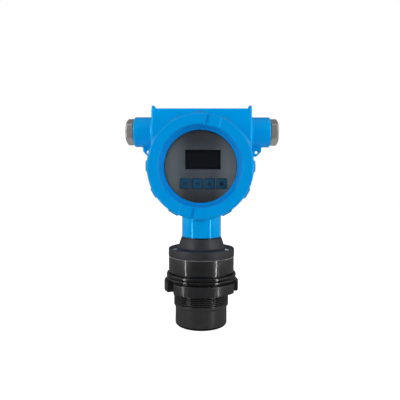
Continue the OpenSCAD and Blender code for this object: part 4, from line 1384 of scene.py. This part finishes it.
# Solids that keep their own shape, with the finish of the real piece
NODE_FINISHES = {
    "window_glass": GLASS,
    "window_gasket": RUBBER,
    "glass_retaining_ring": ALUMINIUM,
    "front_cover_oring": RUBBER,
    "rear_cover_oring": RUBBER,
    "left_plug_washer": RUBBER,
    "right_plug_washer": RUBBER,
    "display_panel": FILM,
    "lcd_module": SCREEN,
    "key_switches": SWITCH,
    "panel_spacers": BRASS,
    "display_board": BOARD,
    "main_board": BOARD,
    "board_spacers": BRASS,
    "drive_transformer": SWITCH,
    "feedthrough": RUBBER,
    "signal_lead": RUBBER,
    "terminal_block": TERMINAL,
    "terminal_screws": SCREW_STEEL,
    "earth_screw": BRASS,
    "neck_seal": RUBBER,
    "matching_layer": FILL,
    "piezo_disc": FILL,
    "damping_backing": FILL,
    "potting_fill": FILL,
}
for name, material in NODE_FINISHES.items():
    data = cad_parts[name].data
    data.materials.clear()
    data.materials.append(material)


# Floor, light and camera, in metres and degrees, with the lens in millimetres

FLOOR_R = 1.6
FLOOR_DROP = 0.0004
FLOOR_GLOW = 0.8

# Strength of the room's light on matt faces, and of what glossy faces mirror: (least, most) towards each way
ROOM_LIGHT = 0.28
WALL_WHITE = 1.0
MIRROR_ASIDE = (0.04, 0.16)
MIRROR_BEHIND = (0.0, 0.08)
MIRROR_BELOW = (0.0, 0.30)

# Two tall strips that draw the bright lines on the probe and the covers
STRIP_ANGLE = 54
STRIP_DISTANCE = 1.2
STRIP_HEIGHT = 0.15

CAMERA_SWING = 1.5
CAMERA_ROLL = -0.3
CAMERA_DISTANCE = 0.480
CAMERA_HEIGHT = 0.1608
CAMERA_LENS = 38.85
CAMERA_SENSOR = 36.0
CAMERA_SHIFT = -0.0545
# Turn in radians that moves the picture by 1.75 pixels, at a focal length of about 430 pixels
CAMERA_TURN = 1.75 / 430


def build_floor():
    """A plain white board that the sensor stands on."""
    mesh = bpy.data.meshes.new("floor")
    work = bmesh.new()
    bmesh.ops.create_circle(work, cap_ends=True, segments=96, radius=FLOOR_R)
    work.to_mesh(mesh)
    work.free()
    material, tree = blank_material("matt_white_board")
    path = node(tree, "ShaderNodeLightPath")
    matt = node(tree, "ShaderNodeBsdfDiffuse", {"Color": linear("#F0F0F0")})
    glow = node(tree, "ShaderNodeMath", {0: path.outputs["Is Camera Ray"], 1: FLOOR_GLOW},
                operation="MULTIPLY")
    lift = node(tree, "ShaderNodeEmission", {"Color": (1, 1, 1, 1), "Strength": glow.outputs[0]})
    both = node(tree, "ShaderNodeAddShader", {0: matt.outputs[0], 1: lift.outputs[0]})
    node(tree, "ShaderNodeOutputMaterial", {"Surface": both.outputs[0]})
    mesh.materials.append(material)
    floor = add_object("floor", mesh)
    floor.location.z = -FLOOR_DROP
    floor.visible_glossy = False


def add_softbox(name, place, aim, width, height, power):
    """A rectangular lamp that shines from a place towards another."""
    light = bpy.data.lights.new(name, "AREA")
    light.shape = "RECTANGLE"
    light.size = width
    light.size_y = height
    light.energy = power
    lamp = add_object(name, light)
    lamp.location = place
    lamp.rotation_euler = (Vector(aim) - Vector(place)).to_track_quat("-Z", "Y").to_euler()
    lamp.visible_camera = False
    return lamp


def build_world():
    """A white room: even light on matt faces, a darker one with paler sides in what is mirrored."""
    world = bpy.data.worlds.new("studio")
    bpy.context.scene.world = world
    world.use_nodes = True
    tree = world.node_tree
    tree.nodes.clear()
    white = (1, 1, 1, 1)
    path = node(tree, "ShaderNodeLightPath")
    room = node(tree, "ShaderNodeBackground", {"Color": white, "Strength": ROOM_LIGHT})
    way = node(tree, "ShaderNodeSeparateXYZ", {0: node(tree, "ShaderNodeTexCoord").outputs["Generated"]})
    aside = node(tree, "ShaderNodeMath", {0: way.outputs[0]}, operation="ABSOLUTE")
    aside = node(tree, "ShaderNodeMapRange", {
        0: aside.outputs[0], 1: 0.3, 2: 0.9, 3: MIRROR_ASIDE[0], 4: MIRROR_ASIDE[1]})
    behind = node(tree, "ShaderNodeMapRange", {
        0: way.outputs[1], 1: 0.0, 2: 0.8, 3: MIRROR_BEHIND[0], 4: MIRROR_BEHIND[1]})
    below = node(tree, "ShaderNodeMapRange", {
        0: way.outputs[2], 1: -0.4, 2: -0.9, 3: MIRROR_BELOW[0], 4: MIRROR_BELOW[1]})
    pale = node(tree, "ShaderNodeMath", {0: aside.outputs[0], 1: behind.outputs[0]}, operation="ADD")
    pale = node(tree, "ShaderNodeMath", {0: pale.outputs[0], 1: below.outputs[0]}, operation="ADD")
    dark = node(tree, "ShaderNodeBackground", {"Color": white, "Strength": pale.outputs[0]})
    wall = node(tree, "ShaderNodeBackground", {"Color": white, "Strength": WALL_WHITE})
    lit = node(tree, "ShaderNodeMixShader", {
        0: path.outputs["Is Glossy Ray"], 1: room.outputs[0], 2: dark.outputs[0]})
    seen = node(tree, "ShaderNodeMixShader", {
        0: path.outputs["Is Camera Ray"], 1: lit.outputs[0], 2: wall.outputs[0]})
    node(tree, "ShaderNodeOutputWorld", {"Surface": seen.outputs[0]})
    bpy.context.scene.view_settings.view_transform = "Standard"


def build_lamps():
    """On each side a strip, a side box and a box behind, and one large box overhead."""
    strip = math.radians(STRIP_ANGLE)
    for side in (-1, 1):
        x = side * STRIP_DISTANCE * math.sin(strip)
        y = -STRIP_DISTANCE * math.cos(strip)
        add_softbox(f"strip_{side}", (x, y, STRIP_HEIGHT), (0, 0, STRIP_HEIGHT), 0.06, 1.7, 9.0)
        add_softbox(f"side_{side}", (side * 1.3, -0.12, 0.45), (0, 0, 0.14), 1.0, 1.0, 3.2)
        back = add_softbox(f"back_{side}", (side * 0.9, 1.1, 0.6), (0, 0, 0.12), 0.9, 0.9, 4)
        back.visible_glossy = False
    add_softbox("top", (0, -0.55, 1.4), (0, 0, 0.1), 2.4, 2.4, 6.5)


def build_camera():
    """The camera stands level, a little to the right, and frames the sensor by its shift."""
    swing = math.radians(CAMERA_SWING)
    data = bpy.data.cameras.new("camera")
    data.sensor_width = CAMERA_SENSOR
    data.lens = CAMERA_LENS
    data.shift_y = CAMERA_SHIFT
    data.clip_start = 0.01
    data.clip_end = 50
    camera = add_object("camera", data)
    camera.location = (CAMERA_DISTANCE * math.sin(swing), -CAMERA_DISTANCE * math.cos(swing), CAMERA_HEIGHT)
    camera.rotation_euler = (math.radians(90), math.radians(CAMERA_ROLL), swing + CAMERA_TURN)
    bpy.context.scene.camera = camera


build_floor()
build_world()
build_lamps()
build_camera()
